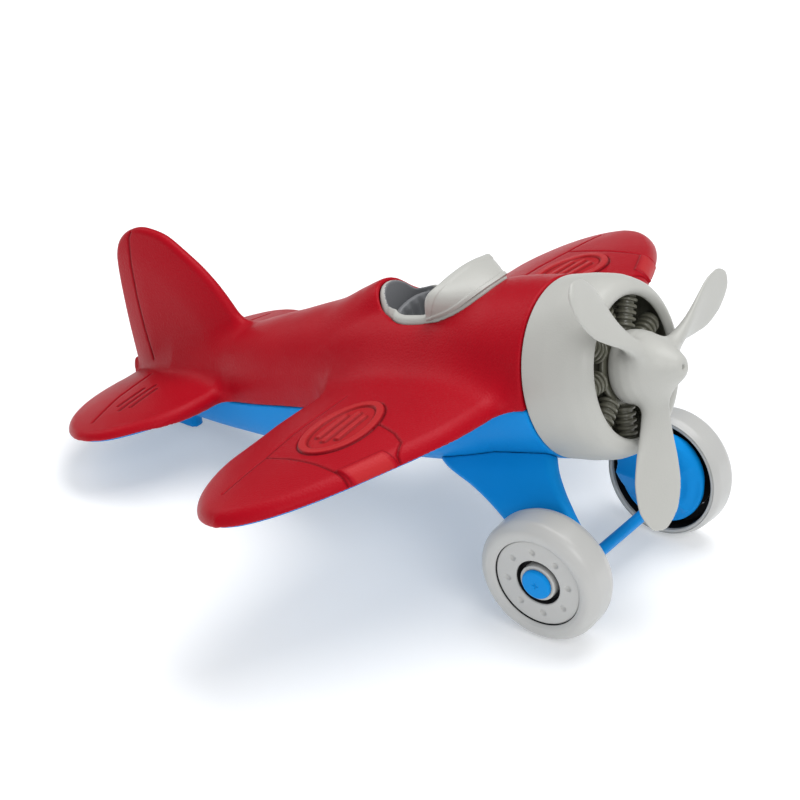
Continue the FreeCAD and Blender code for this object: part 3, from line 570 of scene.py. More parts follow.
def fin(x, y, z):
    return panel(fin_outline(x, z), np.abs(y), half_edge=FIN_EDGE,
                 swell=FIN_HALF(z) - FIN_EDGE, reach=16.0, power=1.8, radius=FIN_EDGE)


def outer_skin(x, y, z):
    front = join(fuselage(x, y, z), wings(x, y, z), 10.0)
    fillet = 1.4 + 5.6 * clamp((x + 137.0) / 18.0)    # smaller towards the tail end
    rear = join(tailplane(x, y, z), fin(x, y, z), fillet)
    d = join(front, rear, fillet)
    return meet(meet(d, x - 56.6, 0.8), -146.6 - x, 1.0)


def part_z(x):
    return np.interp(x, PART_X, PART_Z)


def nose_bore(x, y, z):
    return np.maximum(np.hypot(y, z) - BORE_R, BORE_X - x)


def upper_shell(x, y, z):
    skin = outer_skin(x, y, z)
    shell = cut(skin, skin + WALL, 0.5)
    shell = meet(shell, part_z(x) + SEAM - z, 0.7)
    shell = meet(shell, np.where(z > 5.0, -opening(x, y), -50.0), 1.1)
    shell = meet(shell, x - RIM_X, 0.45)
    return cut(shell, nose_bore(x, y, z), 0.3)


def wing_underside(x, y, z):
    slab = panel(wing_outline(x, y) + 2.3, np.abs(z - WING_Z), half_edge=0.9, swell=2.2,
                 reach=16.0, power=2, radius=0.8)
    return np.maximum(slab, 22.0 - np.abs(y))


def tail_underside(x, y, z):
    return panel(tail_outline(x, y) + 1.9, np.abs(z - TAIL_Z), half_edge=0.8, swell=1.6,
                 reach=12.0, power=2, radius=0.7)


SKID_FLARE = Curve([-28, -24, -19, -12, -5], [-0.4, 0.0, 0.9, 2.0, 3.0])    # over z
SKID_X, SKID_RADIUS = -129.3, 2.4


def tail_skid(x, y, z):
    flare = SKID_FLARE(np.clip(z, -28, -5))
    px = np.abs(x - SKID_X + (z + 24) * 0.10) - (6.6 + flare * 1.6)
    py = np.abs(y) - (3.0 + flare * 0.35)
    d = rounded(px + SKID_RADIUS, py + SKID_RADIUS, SKID_RADIUS)
    return np.maximum(d, z + 9.0)


def ground_height(x, z):
    """World z in mm of a point in the flight frame."""
    return x * FLIGHT_AXES[2, 0] + z * FLIGHT_AXES[2, 2] + ORIGIN[2]


def lower_shell(x, y, z):
    belly = fuselage(x, y, z) + 0.10
    belly = meet(belly, x - RIM_X, 0.45)
    belly = join(belly, tail_skid(x, y, z), 3.0)
    belly = meet(belly, -144.6 - x, 1.0)
    d = join(belly, np.minimum(wing_underside(x, y, z), tail_underside(x, y, z)), 2.5)
    shell = cut(d, d + WALL, 0.4)
    shell = meet(shell, z - part_z(x) + SEAM, 0.6)
    shell = cut(shell, nose_bore(x, y, z), 0.3)
    return meet(shell, 0.02 - ground_height(x, z), 0.5)


BODY_PITCH = 0.8
red_shell = moulded_part("upper_body_shell", upper_shell, (-150, -131, -12), (60, 131, 60),
                         BODY_PITCH, "airframe", "red_plastic", "upper_body")

# ------------------------------------------------------------------ marks on the upper shell
# engraved lines, as x, |y| on the wings and tailplane and x, z on the fin
WING_LINES = [
    [(-3.4, 114.5), (-3.3, 92.0), (-4.9, 75.0), (-4.7, 67.0), (-3.6, 47.0)],
    [(-3.3, 92.0), (5.7, 91.8), (17.8, 93.0), (28.6, 94.8), (38.0, 96.4)],
    [(23.6, 65.2), (32.2, 68.5), (36.7, 71.6), (38.6, 77.0), (44.0, 79.6)]]
TAIL_LINE = [(-127.6, 12.5), (-126.2, 34.0), (-122.4, 52.5)]
FIN_LINE = [(-128.4, 53.5), (-129.8, 51.2), (-131.2, 41.2), (-132.4, 28.3), (-132.4, 15.9),
            (-131.1, 4.2)]
# raised oval band around three raised bars on each wing
OVAL_X, OVAL_Y, OVAL_RX, OVAL_RY, BAND_HALF = 12.0, 70.0, 12.0, 18.3, 1.45
WING_BARS = [(12.0, 10.6), (8.1, 8.4), (15.9, 8.4)]            # x, half length
TAIL_BARS = [(-116.6, 11.0), (-113.4, 8.0), (-119.8, 8.0)]     # sunk, x, half length
TAIL_BARS_Y = 33.0
FAR = 9.0                                                      # no mark nearby


def line_field(x, y, line):
    return line_distance(x, y, line)[0]


def bar_field(x, y, bars, bars_y, half_width, radius):
    return np.minimum.reduce([box(x, y, bar_x, bars_y, half_width, half_length, radius)
                              for bar_x, half_length in bars])


def peak(distance, width):
    return np.exp(-(distance / width) ** 2)


# Each of these gives the distance to the nearest mark, the height to lift the skin by,
# and the amounts of painted shade (line) and of painted highlight (rise).
def wing_marks(x, ay):
    groove = np.minimum.reduce([line_field(x, ay, line) for line in WING_LINES])
    oval = ellipse(x - OVAL_X, ay - OVAL_Y, OVAL_RX, OVAL_RY)
    band = np.abs(oval + BAND_HALF) - BAND_HALF
    groove = np.where(oval < 0.5, FAR, groove)
    bars = bar_field(x, ay, WING_BARS, OVAL_Y, half_width=0.95, radius=0.9)
    # pad across the leading edge
    pad = np.maximum(np.abs(ay - 86.2) - 7.6, -(wing_outline(x, ay) + 4.6))
    pad = np.where(x > 20, pad, FAR)
    near = np.minimum.reduce([groove, np.abs(band), np.abs(bars), np.abs(pad)])
    height = -0.48 * peak(groove, 0.50)
    height += 0.70 * smoothstep((0.25 - band) / 0.5) - 0.25 * peak(band - 0.35, 0.35)
    height += 0.75 * smoothstep((0.2 - bars) / 0.45)
    height += 0.5 * smoothstep((0.25 - pad) / 0.5)
    # painted shade along the grooves and round the band, bars and pad
    line = 0.75 * peak(groove, 0.42) + peak(band - 0.30, 0.40) + peak(bars - 0.28, 0.38)
    line += 0.5 * peak(pad - 0.3, 0.3)
    # painted highlight on the band, the bars, the inside of the oval and the pad
    rise = (smoothstep((0.0 - band) / 0.4) + smoothstep((-0.1 - bars) / 0.4)
            + 0.5 * smoothstep((-0.2 - oval) / 2.0) + 1.2 * smoothstep((-0.4 - pad) / 1.6))
    return near, height, clamp(line), clamp(rise)


def tail_marks(x, ay):
    groove = line_field(x, ay, TAIL_LINE)
    bars = bar_field(x, ay, TAIL_BARS, TAIL_BARS_Y, half_width=0.7, radius=0.6)
    height = -0.42 * peak(groove, 0.45) - 0.55 * smoothstep((0.15 - bars) / 0.4)
    # painted shade in the groove and in the sunk bars
    line = clamp(0.75 * peak(groove, 0.42) + 0.9 * smoothstep((0.3 - bars) / 0.5))
    return np.minimum(groove, np.abs(bars)), height, line, np.zeros(len(x))


def fin_marks(x, z):
    groove = line_field(x, z, FIN_LINE)
    # the third value is painted shade along the groove
    return groove, -0.42 * peak(groove, 0.45), 0.75 * peak(groove, 0.42), np.zeros(len(x))


def marks(points):
    """Rows of distance, height, line (painted shade) and rise (painted highlight) for points in
    the flight frame.
    """
    x, y, z = points.T
    ay = np.abs(y)
    found = np.zeros((4, len(x)))
    found[0] = FAR
    skin = np.abs(outer_skin(x, y, z)) < 0.45
    regions = (
        (skin & (ay > 42) & (x > -40) & (z > -1.2), wing_marks, ay),
        (skin & (ay > 11) & (x < -80) & (z > -4.4) & (z < 4), tail_marks, ay),
        (skin & (ay < 6.5) & (x < -120) & (z > 3.5), fin_marks, z))
    for region, region_marks, across in regions:
        if region.any():
            found[:, region] = region_marks(x[region], across[region])
    return found


def flight_points(bm):
    return to_flight(np.array([vert.co[:] for vert in bm.verts]) / MM)


def engrave(part, reach=1.5, cuts=2):
    """Refine the mesh within reach of the marks, shape them and store their painted shade and
    highlight.
    """
    bm = bmesh.new()
    bm.from_mesh(part.data)
    close = marks(flight_points(bm))[0] < reach
    edges = [e for e in bm.edges if close[e.verts[0].index] and close[e.verts[1].index]]
    if edges:
        bmesh.ops.subdivide_edges(bm, edges=edges, cuts=cuts, use_grid_fill=True)
    bm.verts.index_update()
    points = flight_points(bm)
    _, height, line, rise = marks(points)
    moved = np.nonzero(np.abs(height) > 1e-3)[0]
    normal = differences(outer_skin, points[moved], 0.05)
    normal /= np.linalg.norm(normal, axis=1, keepdims=True) + 1e-9
    places = to_world(points[moved] + normal * height[moved][:, None]) * MM
    bm.verts.ensure_lookup_table()
    for i, place in zip(moved, places):
        bm.verts[i].co = place
    mesh = part.data
    bm.to_mesh(mesh)
    bm.free()
    mesh.polygons.foreach_set("use_smooth", np.ones(len(mesh.polygons), bool))
    # attributes: line holds the painted shade, rise holds the painted highlight
    for name, values in (("line", line), ("rise", rise)):
        attribute = mesh.attributes.new(name, "FLOAT", "POINT")
        attribute.data.foreach_set("value", np.ascontiguousarray(values, dtype=np.float32))


engrave(red_shell)
moulded_part("lower_body_shell", lower_shell, (-150, -131, -36), (60, 131, 4), BODY_PITCH,
             "airframe", "blue_plastic", "lower_body")


# ------------------------------------------------------------------ turned pieces
def fillet_profile(points, steps=6, closed=True):
    """Round a profile of (along, radius, corner radius); steps are per quarter turn."""
    out = []
    count = len(points)
    for i in range(count):
        x, y, radius = points[i]
        if radius <= 0 or (not closed and i in (0, count - 1)):
            out.append((x, y))
            continue
        corner = np.array([x, y], float)
        back = np.array(points[i - 1][:2], float) - corner
        ahead = np.array(points[(i + 1) % count][:2], float) - corner
        back_length, ahead_length = np.linalg.norm(back), np.linalg.norm(ahead)
        back, ahead = back / back_length, ahead / ahead_length
        half = math.acos(float(np.clip(back @ ahead, -1, 1))) / 2
        if half > math.pi / 2 - 0.02 or half < 0.02:
            out.append((x, y))
            continue
        setback = min(radius / math.tan(half), 0.48 * back_length, 0.48 * ahead_length)
        radius = setback * math.tan(half)
        start, end = corner + back * setback, corner + ahead * setback
        centre = corner + unit(back + ahead) * radius / math.sin(half)
        t0 = math.atan2(start[1] - centre[1], start[0] - centre[0])
        t1 = math.atan2(end[1] - centre[1], end[0] - centre[0])
        turn = (t1 - t0 + math.pi) % (2 * math.pi) - math.pi
        pieces = max(2, int(round(steps * abs(turn) / (math.pi / 2))))
        for k in range(pieces + 1):
            t = t0 + turn * k / pieces
            out.append((centre[0] + radius * math.cos(t), centre[1] + radius * math.sin(t)))
    kept = [out[0]]
    for p in out[1:]:
        if math.hypot(p[0] - kept[-1][0], p[1] - kept[-1][1]) > 1e-4:
            kept.append(p)
    return kept


def split_long(profile, step, closed=True):
    """Divide the long segments of a profile."""
    out = []
    count = len(profile)
    for i in range(count if closed else count - 1):
        p, q = np.array(profile[i]), np.array(profile[(i + 1) % count])
        pieces = max(1, int(np.linalg.norm(q - p) / step))
        for j in range(pieces):
            out.append(tuple(p + (q - p) * j / pieces))
    if not closed:
        out.append(profile[-1])
    return out


def revolve(profile, segments, axis_frame, closed=True):
    """Turn a profile of (along, radius) about the first axis of the frame."""
    centre, axis, u, v = axis_frame
    verts, rings, faces = [], [], []
    angles = np.arange(segments) * 2 * math.pi / segments
    for along, radius in profile:
        if radius < 1e-5:
            rings.append([len(verts)])
            verts.append(centre + along * axis)
        else:
            rings.append(list(range(len(verts), len(verts) + segments)))
            for t in angles:
                verts.append(centre + along * axis
                             + radius * (math.cos(t) * u + math.sin(t) * v))
    count = len(profile)
    for i in range(count if closed else count - 1):
        a, b = rings[i], rings[(i + 1) % count]
        if len(a) == 1 and len(b) == 1:
            continue
        for k in range(segments):
            k2 = (k + 1) % segments
            if len(a) == 1:
                faces.append((a[0], b[k2], b[k]))
            elif len(b) == 1:
                faces.append((a[k], a[k2], b[0]))
            else:
                faces.append((a[k], a[k2], b[k2], b[k]))
    return np.array(verts), faces


def merge(pieces):
    verts, faces, count = [], [], 0
    for piece_verts, piece_faces in pieces:
        verts.append(piece_verts)
        faces += [tuple(i + count for i in face) for face in piece_faces]
        count += len(piece_verts)
    return np.concatenate(verts), faces


def tidy(part, sharp_angle):
    """Turn the normals outward, then mark the edges that bend by sharp_angle degrees."""
    bm = bmesh.new()
    bm.from_mesh(part.data)
    bmesh.ops.recalc_face_normals(bm, faces=bm.faces)
    bm.to_mesh(part.data)
    bm.free()
    bm = bmesh.new()
    bm.from_mesh(part.data)
    limit = math.radians(sharp_angle)
    for edge in bm.edges:
        if len(edge.link_faces) == 2:
            edge.smooth = edge.calc_face_angle(0.0) < limit
    bm.to_mesh(part.data)
    bm.free()
    return part


# ------------------------------------------------------------------ cowl and engine
COWL_X, COWL_R = 56.9, 30.9             # rear face and outer radius
COWL_FLOOR_X, COWL_HOLE_R = 59.3, 7.2
COWL_PROFILE = [
    (COWL_X, COWL_R - 5.6, 0), (COWL_X, COWL_R - 0.15, 0.7), (66.0, COWL_R + 0.25, 12.0),
    (74.0, COWL_R - 0.1, 12.0), (80.2, 28.7, 6.5), (82.1, 24.9, 2.4), (79.6, 23.2, 1.6),
    (77.4, 25.6, 2.0), (73.0, 28.5, 6.0), (COWL_FLOOR_X, 28.5, 0.6),
    (COWL_FLOOR_X, COWL_HOLE_R, 0.3), (COWL_X, COWL_HOLE_R, 0.0)]


def shaded_cowl_faces(centres):
    x, y, z = to_flight(centres).T
    return (59.0 < x) & (x < 79.0) & (np.hypot(y, z) < 28.7)


verts, faces = revolve(split_long(fillet_profile(COWL_PROFILE, steps=9), 2.2),
                       192, NOSE_FRAME)
cowl = tidy(new_part("cowl_ring", verts, faces, "airframe", "grey_plastic", "cowl"),
            sharp_angle=50)
# painted shade: the darker grey goes on the faces inside the cowl
paint_faces(cowl, COWL_INSIDE_SHADE, shaded_cowl_faces)

CRANKCASE = [(57.6, 0.0, 0), (57.6, 12.2, 0.5), (69.0, 12.2, 0.6), (73.6, 11.8, 1.6),
             (75.2, 11.4, 0.4), (75.4, 12.8, 0.25), (76.5, 12.8, 0.3), (76.9, 12.2, 0.3),
             (76.9, 0.0, 0)]
CYLINDERS, FIRST_CYLINDER_ANGLE, CYLINDER_X = 9, 18.0, 75.0
FINS, FIRST_FIN, FIN_PITCH = 5, 13.2, 2.15
FIN_R, FIN_ROOT_R = 3.8, 2.7


def engine_cylinder(angle):
    """Finned cylinder pointing outward, turned about its own axis."""
    outward = math.cos(angle) * FLIGHT_Y + math.sin(angle) * FLIGHT_Z
    profile = [(10.0, 0.0, 0), (10.0, 2.3, 0.0), (12.7, 2.3, 0.1)]
    for j in range(FINS):
        start = FIRST_FIN + j * FIN_PITCH
        profile += [(start, FIN_ROOT_R, 0.2), (start + 0.1, FIN_R, 0.45),
                    (start + 1.15, FIN_R, 0.45), (start + 1.25, FIN_ROOT_R, 0.2)]
    profile += [(23.3, 2.6, 0.1), (23.4, 3.2, 0.3), (24.4, 3.0, 0.5), (24.6, 0.0, 0)]
    axis_frame = (ORIGIN + CYLINDER_X * FLIGHT_X, outward, FLIGHT_X,
                  np.cross(outward, FLIGHT_X))
    return revolve(fillet_profile(profile, steps=4, closed=False), 44, axis_frame,
                   closed=False)


pieces = [revolve(fillet_profile(CRANKCASE, closed=False), 96, NOSE_FRAME, closed=False)]
for k in range(CYLINDERS):
    pieces.append(engine_cylinder(math.radians(FIRST_CYLINDER_ANGLE + 360.0 / CYLINDERS * k)))
verts, faces = merge(pieces)
# the engine takes the darker grey with painted shade
tidy(new_part("radial_engine", verts, faces, "airframe", "grey_plastic", "engine",
              ENGINE_SHADED_GREY), sharp_angle=45)

# ------------------------------------------------------------------ propeller
HUB_X = 77.6           # rear face of the spinner
# spinner profile: x, radius
SPINNER = [(HUB_X, 0.0), (HUB_X, 10.6), (77.9, 11.5), (78.8, 12.1), (80.4, 12.4),
           (83.0, 12.35), (86.0, 11.7), (89.0, 10.5), (92.0, 8.9), (95.0, 7.0), (97.4, 5.3),
           (99.0, 3.9), (99.7, 2.9), (100.0, 2.0), (100.0, 0.0)]
spinner = Outline(SPINNER + [(x, -r) for x, r in SPINNER[::-1] if r > 0], pad=10.0, step=0.25)
BLADES, FIRST_BLADE_ANGLE = 3, 131.0
# blade stations: distance from the axis, half chord, half thickness, pitch in degrees
BLADE_CHORD, BLADE_THICKNESS, BLADE_PITCH = curves([
    (-6, 4.5, 3.8, 60), (5, 4.4, 3.7, 58), (10, 4.4, 3.4, 53), (16, 4.8, 2.7, 44),
    (23, 6.0, 2.0, 34), (31, 8.1, 1.6, 24), (39, 9.5, 1.35, 18), (46, 8.6, 1.2, 16),
    (50, 6.5, 1.1, 15), (52.4, 4.3, 0.95, 14), (53.6, 2.9, 0.8, 14), (54.4, 1.4, 0.7, 14)])


def blade(x, y, z, angle):
    span = y * math.cos(angle) + z * math.sin(angle)
    side = y * math.sin(angle) - z * math.cos(angle)
    ahead = x - PROPELLER_X
    station = np.clip(span, -6, 54.4)
    chord, thick = BLADE_CHORD(station), BLADE_THICKNESS(station)
    pitch = np.radians(BLADE_PITCH(station))
    along = ahead * np.sin(pitch) - side * np.cos(pitch)
    across = ahead * np.cos(pitch) + side * np.sin(pitch)
    # slight camber
    across = across + 0.035 * chord * (1 - (along / chord) ** 2) * clamp(station / 30.0)
    d = np.maximum(ellipse(along, across, chord, thick, floor=1e-6), -thick)
    d = meet(d, span - 53.9, 1.2)
    return meet(d, -2.0 - span, 1.0)


def propeller(x, y, z):
    radial = np.hypot(y, z)
    d = spinner(x, radial)
    for k in range(BLADES):
        angle = math.radians(FIRST_BLADE_ANGLE + 360.0 / BLADES * k)
        d = join(d, blade(x, y, z, angle), 4.2)
    d = meet(d, HUB_X - x, 0.6)
    pinhole = np.maximum(radial - 0.8, 98.6 - x)
    dish = np.hypot(radial, x - 101.5) - 2.1
    d = cut(d, pinhole, 0.2)
    d = cut(d, dish, 0.3)
    return cut(d, np.maximum(radial - 2.56, x - 94.0), 0.1)     # bore from behind


moulded_part("propeller_moulding", propeller, (76, -58, -58), (102, 58, 58),
             0.5, "propeller", "grey_plastic", "propeller", passes=3)

# ------------------------------------------------------------------ wheels
# along is outward from the wheel's middle
TYRE_HALF, TYRE_R = 6.9, 22.72
FACE_R, FACE_X = 16.0, 5.3              # outer face of the disc
CUP_R = 19.8                            # hollow on the inner side of the tyre
HUB_HOLE_R, SLEEVE_R, SLEEVE_BORE, CAP_R = 8.3, 6.6, 5.06, 5.45
DIMPLES, DIMPLE_ORBIT, DIMPLE_R, DIMPLE_DEPTH = 8, 11.7, 1.15, 0.85
WHEEL_SEGMENTS = 256
TYRE_PROFILE = [
    (TYRE_HALF - 1.35, FACE_R + 0.12, 0.0), (TYRE_HALF - 1.0, FACE_R + 0.16, 0.25),
    (TYRE_HALF - 0.35, FACE_R + 1.3, 1.2), (TYRE_HALF, TYRE_R - 2.9, 4.2),
    (TYRE_HALF - 2.6, TYRE_R, 5.2), (-TYRE_HALF + 2.6, TYRE_R, 4.6),
    (-TYRE_HALF, TYRE_R - 1.3, 1.6), (-TYRE_HALF, 21.35, 0.1),
    (-TYRE_HALF + 0.35, 21.2, 0.1), (-TYRE_HALF + 0.35, 21.0, 0.1),
    (-TYRE_HALF, 20.85, 0.1), (-TYRE_HALF + 0.05, CUP_R + 0.2, 0.4),
    (-TYRE_HALF + 1.0, CUP_R, 0.5), (2.3, CUP_R, 1.2), (2.3, FACE_R + 0.12, 0.0)]
DISC_PROFILE = [
    (FACE_X, HUB_HOLE_R, 0.5), (FACE_X, FACE_R - 0.35, 0.4), (FACE_X - 0.4, FACE_R, 0.1),
    (2.5, FACE_R, 0.0), (2.5, 9.6, 1.0), (-3.2, 9.0, 0.4), (-3.2, SLEEVE_R + 0.02, 0.0),
    (1.4, SLEEVE_R + 0.02, 0.0), (1.4, HUB_HOLE_R, 0.4)]
HUB_PROFILE = [
    (-3.6, SLEEVE_BORE, 0.1), (-3.6, SLEEVE_R + 0.9, 0.3), (-3.25, SLEEVE_R + 0.9, 0.1),
    (-3.25, SLEEVE_R, 0.0), (FACE_X + 0.25, SLEEVE_R, 0.45),
    (FACE_X + 0.25, SLEEVE_BORE, 0.3)]


def wheel_part(name, verts, faces, side, replaced, sharp_angle=50):
    return tidy(new_part(name, verts, faces, "wheel_" + side, "wheel_plastic",
                         "%s_%s" % (replaced, side)), sharp_angle)


def paint_recess_shade(part, axis_frame, chosen):
    """Painted shade: dark material for the recesses, chosen by (along, radius)."""
    def pick(centres):
        offset = centres - axis_frame[0]
        along = offset @ axis_frame[1]
        return chosen(along, np.sqrt(np.maximum((offset * offset).sum(1) - along * along, 0.0)))
    paint_faces(part, WHEEL_RECESS_SHADE, pick)


def local_points(verts, axis_frame):
    offset = verts - axis_frame[0]
    return [offset @ axis for axis in axis_frame[1:]]


def build_tyre(side, axis_frame):
    profile = split_long(fillet_profile(TYRE_PROFILE, steps=10), 2.0)
    verts, faces = revolve(profile, WHEEL_SEGMENTS, axis_frame)
    part = wheel_part("tyre_%s_ring" % side, verts, faces, side, "tyre", sharp_angle=60)
    # painted shade in the tyre's inner hollow
    paint_recess_shade(part, axis_frame,
           lambda along, r: (r < CUP_R + 0.3) & (along > -TYRE_HALF + 1.2) & (along < 4.0))


def build_disc(side, axis_frame):
    """Disc with a fine grid on its face, which carries a ring of dimples."""
    coarse = split_long(fillet_profile(DISC_PROFILE, steps=5), 1.6)
    profile = []
    for p, q in zip(coarse, coarse[1:] + coarse[:1]):
        on_face = abs(p[0] - FACE_X) < 1e-3 and abs(q[0] - FACE_X) < 1e-3
        profile += split_long([p, q], 0.28, closed=False)[:-1] if on_face else [p]
    verts, faces = revolve(profile, 340, axis_frame)
    along, u, v = local_points(verts, axis_frame)
    depth = np.zeros(len(verts))
    for k in range(DIMPLES):
        t = math.radians(360.0 / DIMPLES * k + 10.0)
        distance = np.hypot(u - DIMPLE_ORBIT * math.cos(t), v - DIMPLE_ORBIT * math.sin(t))
        depth += DIMPLE_DEPTH * clamp(1 - (distance / DIMPLE_R) ** 2) ** 0.6
    verts = verts - (depth * (np.abs(along - FACE_X) < 1e-3))[:, None] * axis_frame[1]
    part = wheel_part("wheel_disc_%s_plate" % side, verts, faces, side, "wheel_disc")
    # painted shade on the disc's back and in the gap round the sleeve
    paint_recess_shade(part, axis_frame,
           lambda along, r: (along < 2.6) | ((r < HUB_HOLE_R + 0.1) & (along < FACE_X - 0.7)))


def build_hub(side, axis_frame):
    verts, faces = revolve(fillet_profile(HUB_PROFILE, steps=5), WHEEL_SEGMENTS, axis_frame)
    wheel_part("wheel_hub_%s_sleeve" % side, verts, faces, side, "wheel_hub")


def build_axle_cap(side, axis_frame):
    """Domed button with a small sunk cross."""
    profile = [(-2.0, 0.0), (-2.0, 2.6), (FACE_X + 0.3, 2.6), (FACE_X + 0.35, CAP_R - 0.1),
               (FACE_X + 0.5, CAP_R), (FACE_X + 1.0, CAP_R), (FACE_X + 1.35, CAP_R - 0.15),
               (FACE_X + 1.6, CAP_R - 0.55)]
    radius = CAP_R - 0.8
    while radius > 0.13:
        profile.append((FACE_X + 1.62 + 0.28 * (1 - (radius / CAP_R) ** 2), radius))
        radius -= 0.17
    profile.append((FACE_X + 1.9, 0.0))
    verts, faces = revolve(profile, 72, axis_frame, closed=False)
    along, u, v = local_points(verts, axis_frame)
    cross = np.minimum(np.maximum(np.abs(u) - 0.22, np.abs(v) - 1.0),
                       np.maximum(np.abs(v) - 0.22, np.abs(u) - 1.0))
    depth = 0.35 * clamp(1 - clamp(cross + 0.1) / 0.25) * (along > FACE_X + 1.2)
    verts = verts - depth[:, None] * axis_frame[1]
    tidy(new_part("axle_cap_%s_button" % side, verts, faces, "airframe", "blue_plastic",
                  "axle_cap_" + side), sharp_angle=50)


for side in ("right", "left"):
    for build in (build_tyre, build_disc, build_hub, build_axle_cap):
        build(side, wheel_frame(side))

# ------------------------------------------------------------------ landing gear
# right leg stations: y, z, x of the rear edge, x of the front edge, half thickness
LEG = [(-19.0, -24.0, 6.0, 55.0, 3.3), (-22.5, -28.0, 12.0, 57.0, 3.2),
       (-26.4, -33.4, 24.0, 60.6, 3.0), (-30.4, -39.0, 34.0, 65.4, 2.8),
       (-33.2, -45.0, 41.0, 69.4, 2.6), (-34.6, -51.0, 45.0, 71.0, 2.5)]
BACK_FACE, BACK_THICK, BACK_R = -4.6, 2.4, 16.8      # disc behind the wheel, along the axle
STUB_R, BRACE_R = 5.0, 2.1


def leg_place(y, z):
    """Distances down the leg and across its thickness."""
    return ((y + 19.0) * -0.51 + (z + 24.0) * -0.86,
            (y + 19.0) * -0.86 + (z + 24.0) * 0.51)


LEG_ROWS = [(*leg_place(y, z), rear, front, half) for y, z, rear, front, half in LEG]
LEG_START, LEG_END = LEG_ROWS[0][0], LEG_ROWS[-1][0]
LEG_MIDDLE, LEG_REAR, LEG_FRONT, LEG_HALF = curves(LEG_ROWS)
AXLE, OUTWARD = wheel_frame("right")[:2]
BRACE = AXLE + np.array([4.4, 0.0, -3.6])


def leg(x, y, z):
    down, across = leg_place(y, z)
    station = np.clip(down, LEG_START - 3, LEG_END)
    rear, front, half = LEG_REAR(station), LEG_FRONT(station), LEG_HALF(station)
    dx = np.abs(x - (rear + front) / 2) - (front - rear) / 2
    dt = np.abs(across - LEG_MIDDLE(station)) - half
    edge = half * 0.93
    d = rounded(dx + edge, dt + edge, edge)
    d = meet(d, down - LEG_END - 4.0, 2.0)
    d = np.maximum(d, LEG_START - 5.0 - down)
    return cut(d, fuselage(x, y, z) - 0.05, 0.3)


def backing_disc(offset, along, radial):
    inner_face = BACK_FACE - BACK_THICK
    disc = cylinder(along, radial, inner_face, BACK_FACE, BACK_R, 0.9)
    # its inner side swells towards the middle
    swell = cylinder(along, radial, inner_face - 1.6, BACK_FACE - 1.0, 13.0, 1.6)
    disc = join(disc, swell, 3.5)
    # roof-shaped ridge on the inner side, which runs towards +X and ends in a point
    roof = np.minimum((13.0 - offset[:, 0]) * 0.60, 5.6 - np.abs(offset[:, 2]) * 0.54)
    ridge = np.maximum((inner_face - along - roof) * 0.86, radial - 15.0)
    ridge = np.maximum(ridge, along - (BACK_FACE - 1.0))
    return join(disc, ridge, 0.5)


def landing_gear(x, y, z):
    """Both sides at once, in world mm, by mirroring onto the right side."""
    y = -np.abs(y)
    points = np.stack([x, y, z], 1)
    offset = points - AXLE
    along = offset @ OUTWARD
    radial = np.sqrt(np.maximum((offset * offset).sum(1) - along * along, 0))
    strut = meet(leg(*to_flight(points).T), along - (BACK_FACE - 0.4), 0.4)
    d = join(strut, backing_disc(offset, along, radial), 5.0)
    d = meet(d, along - BACK_FACE, 0.5)
    stub = cylinder(along, radial, BACK_FACE - 1.0, FACE_X + 0.3, STUB_R, 0.3)
    boss = cylinder(along, radial, BACK_FACE - 0.5, BACK_FACE + 0.7, 7.4, 0.4)
    d = join(d, np.minimum(stub, boss), 0.5)
    d = cut(d, np.maximum(radial - 2.6, -2.6 - along), 0.1)
    # round bar between the two sides
    bar = np.hypot(x - BRACE[0], z - BRACE[2]) - BRACE_R
    bar = np.maximum(bar, along - (BACK_FACE - 1.0))
    bar = np.maximum(bar, -40.0 - y)
    return join(d, bar, 1.2)


leg_corners = to_world([[rear, y, z] for y, z, rear, _, _ in LEG]
                       + [[front, y, z] for y, z, _, front, _ in LEG])
moulded_part("landing_gear_moulding", landing_gear,
             (min(leg_corners[:, 0].min(), AXLE[0] - 20) - 5, -49, 2.0),
             (max(leg_corners[:, 0].max(), AXLE[0] + 20) + 5, 49, leg_corners[:, 2].max() + 8),
             0.6, "airframe", "blue_plastic", "landing_gear", passes=3,
             place=np.asarray)

# ------------------------------------------------------------------ cockpit
SEAT_X, SEAT_HALF = -4.4, 0.95          # seat back: middle and half thickness
PLEAT_PITCH = 4.6


def seat_back(x, y, z):
    """Arched panel with soft pleats and two rows of dimples."""
    top = 25.4 - 3.4 * np.abs(y / 14.0) ** 2.2
    pleat = (0.35 * (1 + np.cos(y * 2 * math.pi / PLEAT_PITCH)) * clamp(-(z - top) / 2.0)
             * (x > SEAT_X))
    seat = meet(np.abs(x - SEAT_X) - SEAT_HALF - pleat, z - top, 0.7)
    for dimple_y in (-6.9, -2.3, 2.3, 6.9):
        for dimple_z in (19.5, 15.0):
            ball = np.sqrt((x + 2.4) ** 2 + (y - dimple_y) ** 2 + (z - dimple_z) ** 2) - 1.0
            seat = cut(seat, ball, 0.3)
    return seat


def cockpit(x, y, z):
    outline = opening(x, y)
    wall = outline + 0.18
    # a plug that follows the body's skin, standing proud of it except at the rear
    proud = 0.9 - 2.1 * clamp((-3.0 - x) / 6.0)
    plug = meet(wall, fuselage(x, y, z) - proud, 1.1)
    well = meet(outline + 2.5, 9.5 - z, 1.0)
    shelf = np.where(x < -3.6, 18.5 - z, -50.0)     # the well is shallow behind the seat
    tub = cut(plug, meet(well, shelf, 0.8), 0.7)
    tub = join(tub, meet(seat_back(x, y, z), wall, 0.3), 0.5)
    dash = meet(meet(23.0 - x, z - 21.5, 1.5), wall, 0.4)
    tub = join(tub, dash, 1.0)
    cushion = meet(meet(np.abs(x - 4.0) - 7.0, z - 13.0, 2.0), np.abs(y) - 11.0, 2.0)
    tub = join(tub, meet(cushion, wall, 0.4), 1.0)
    return meet(tub, 6.0 - z, 0.4)


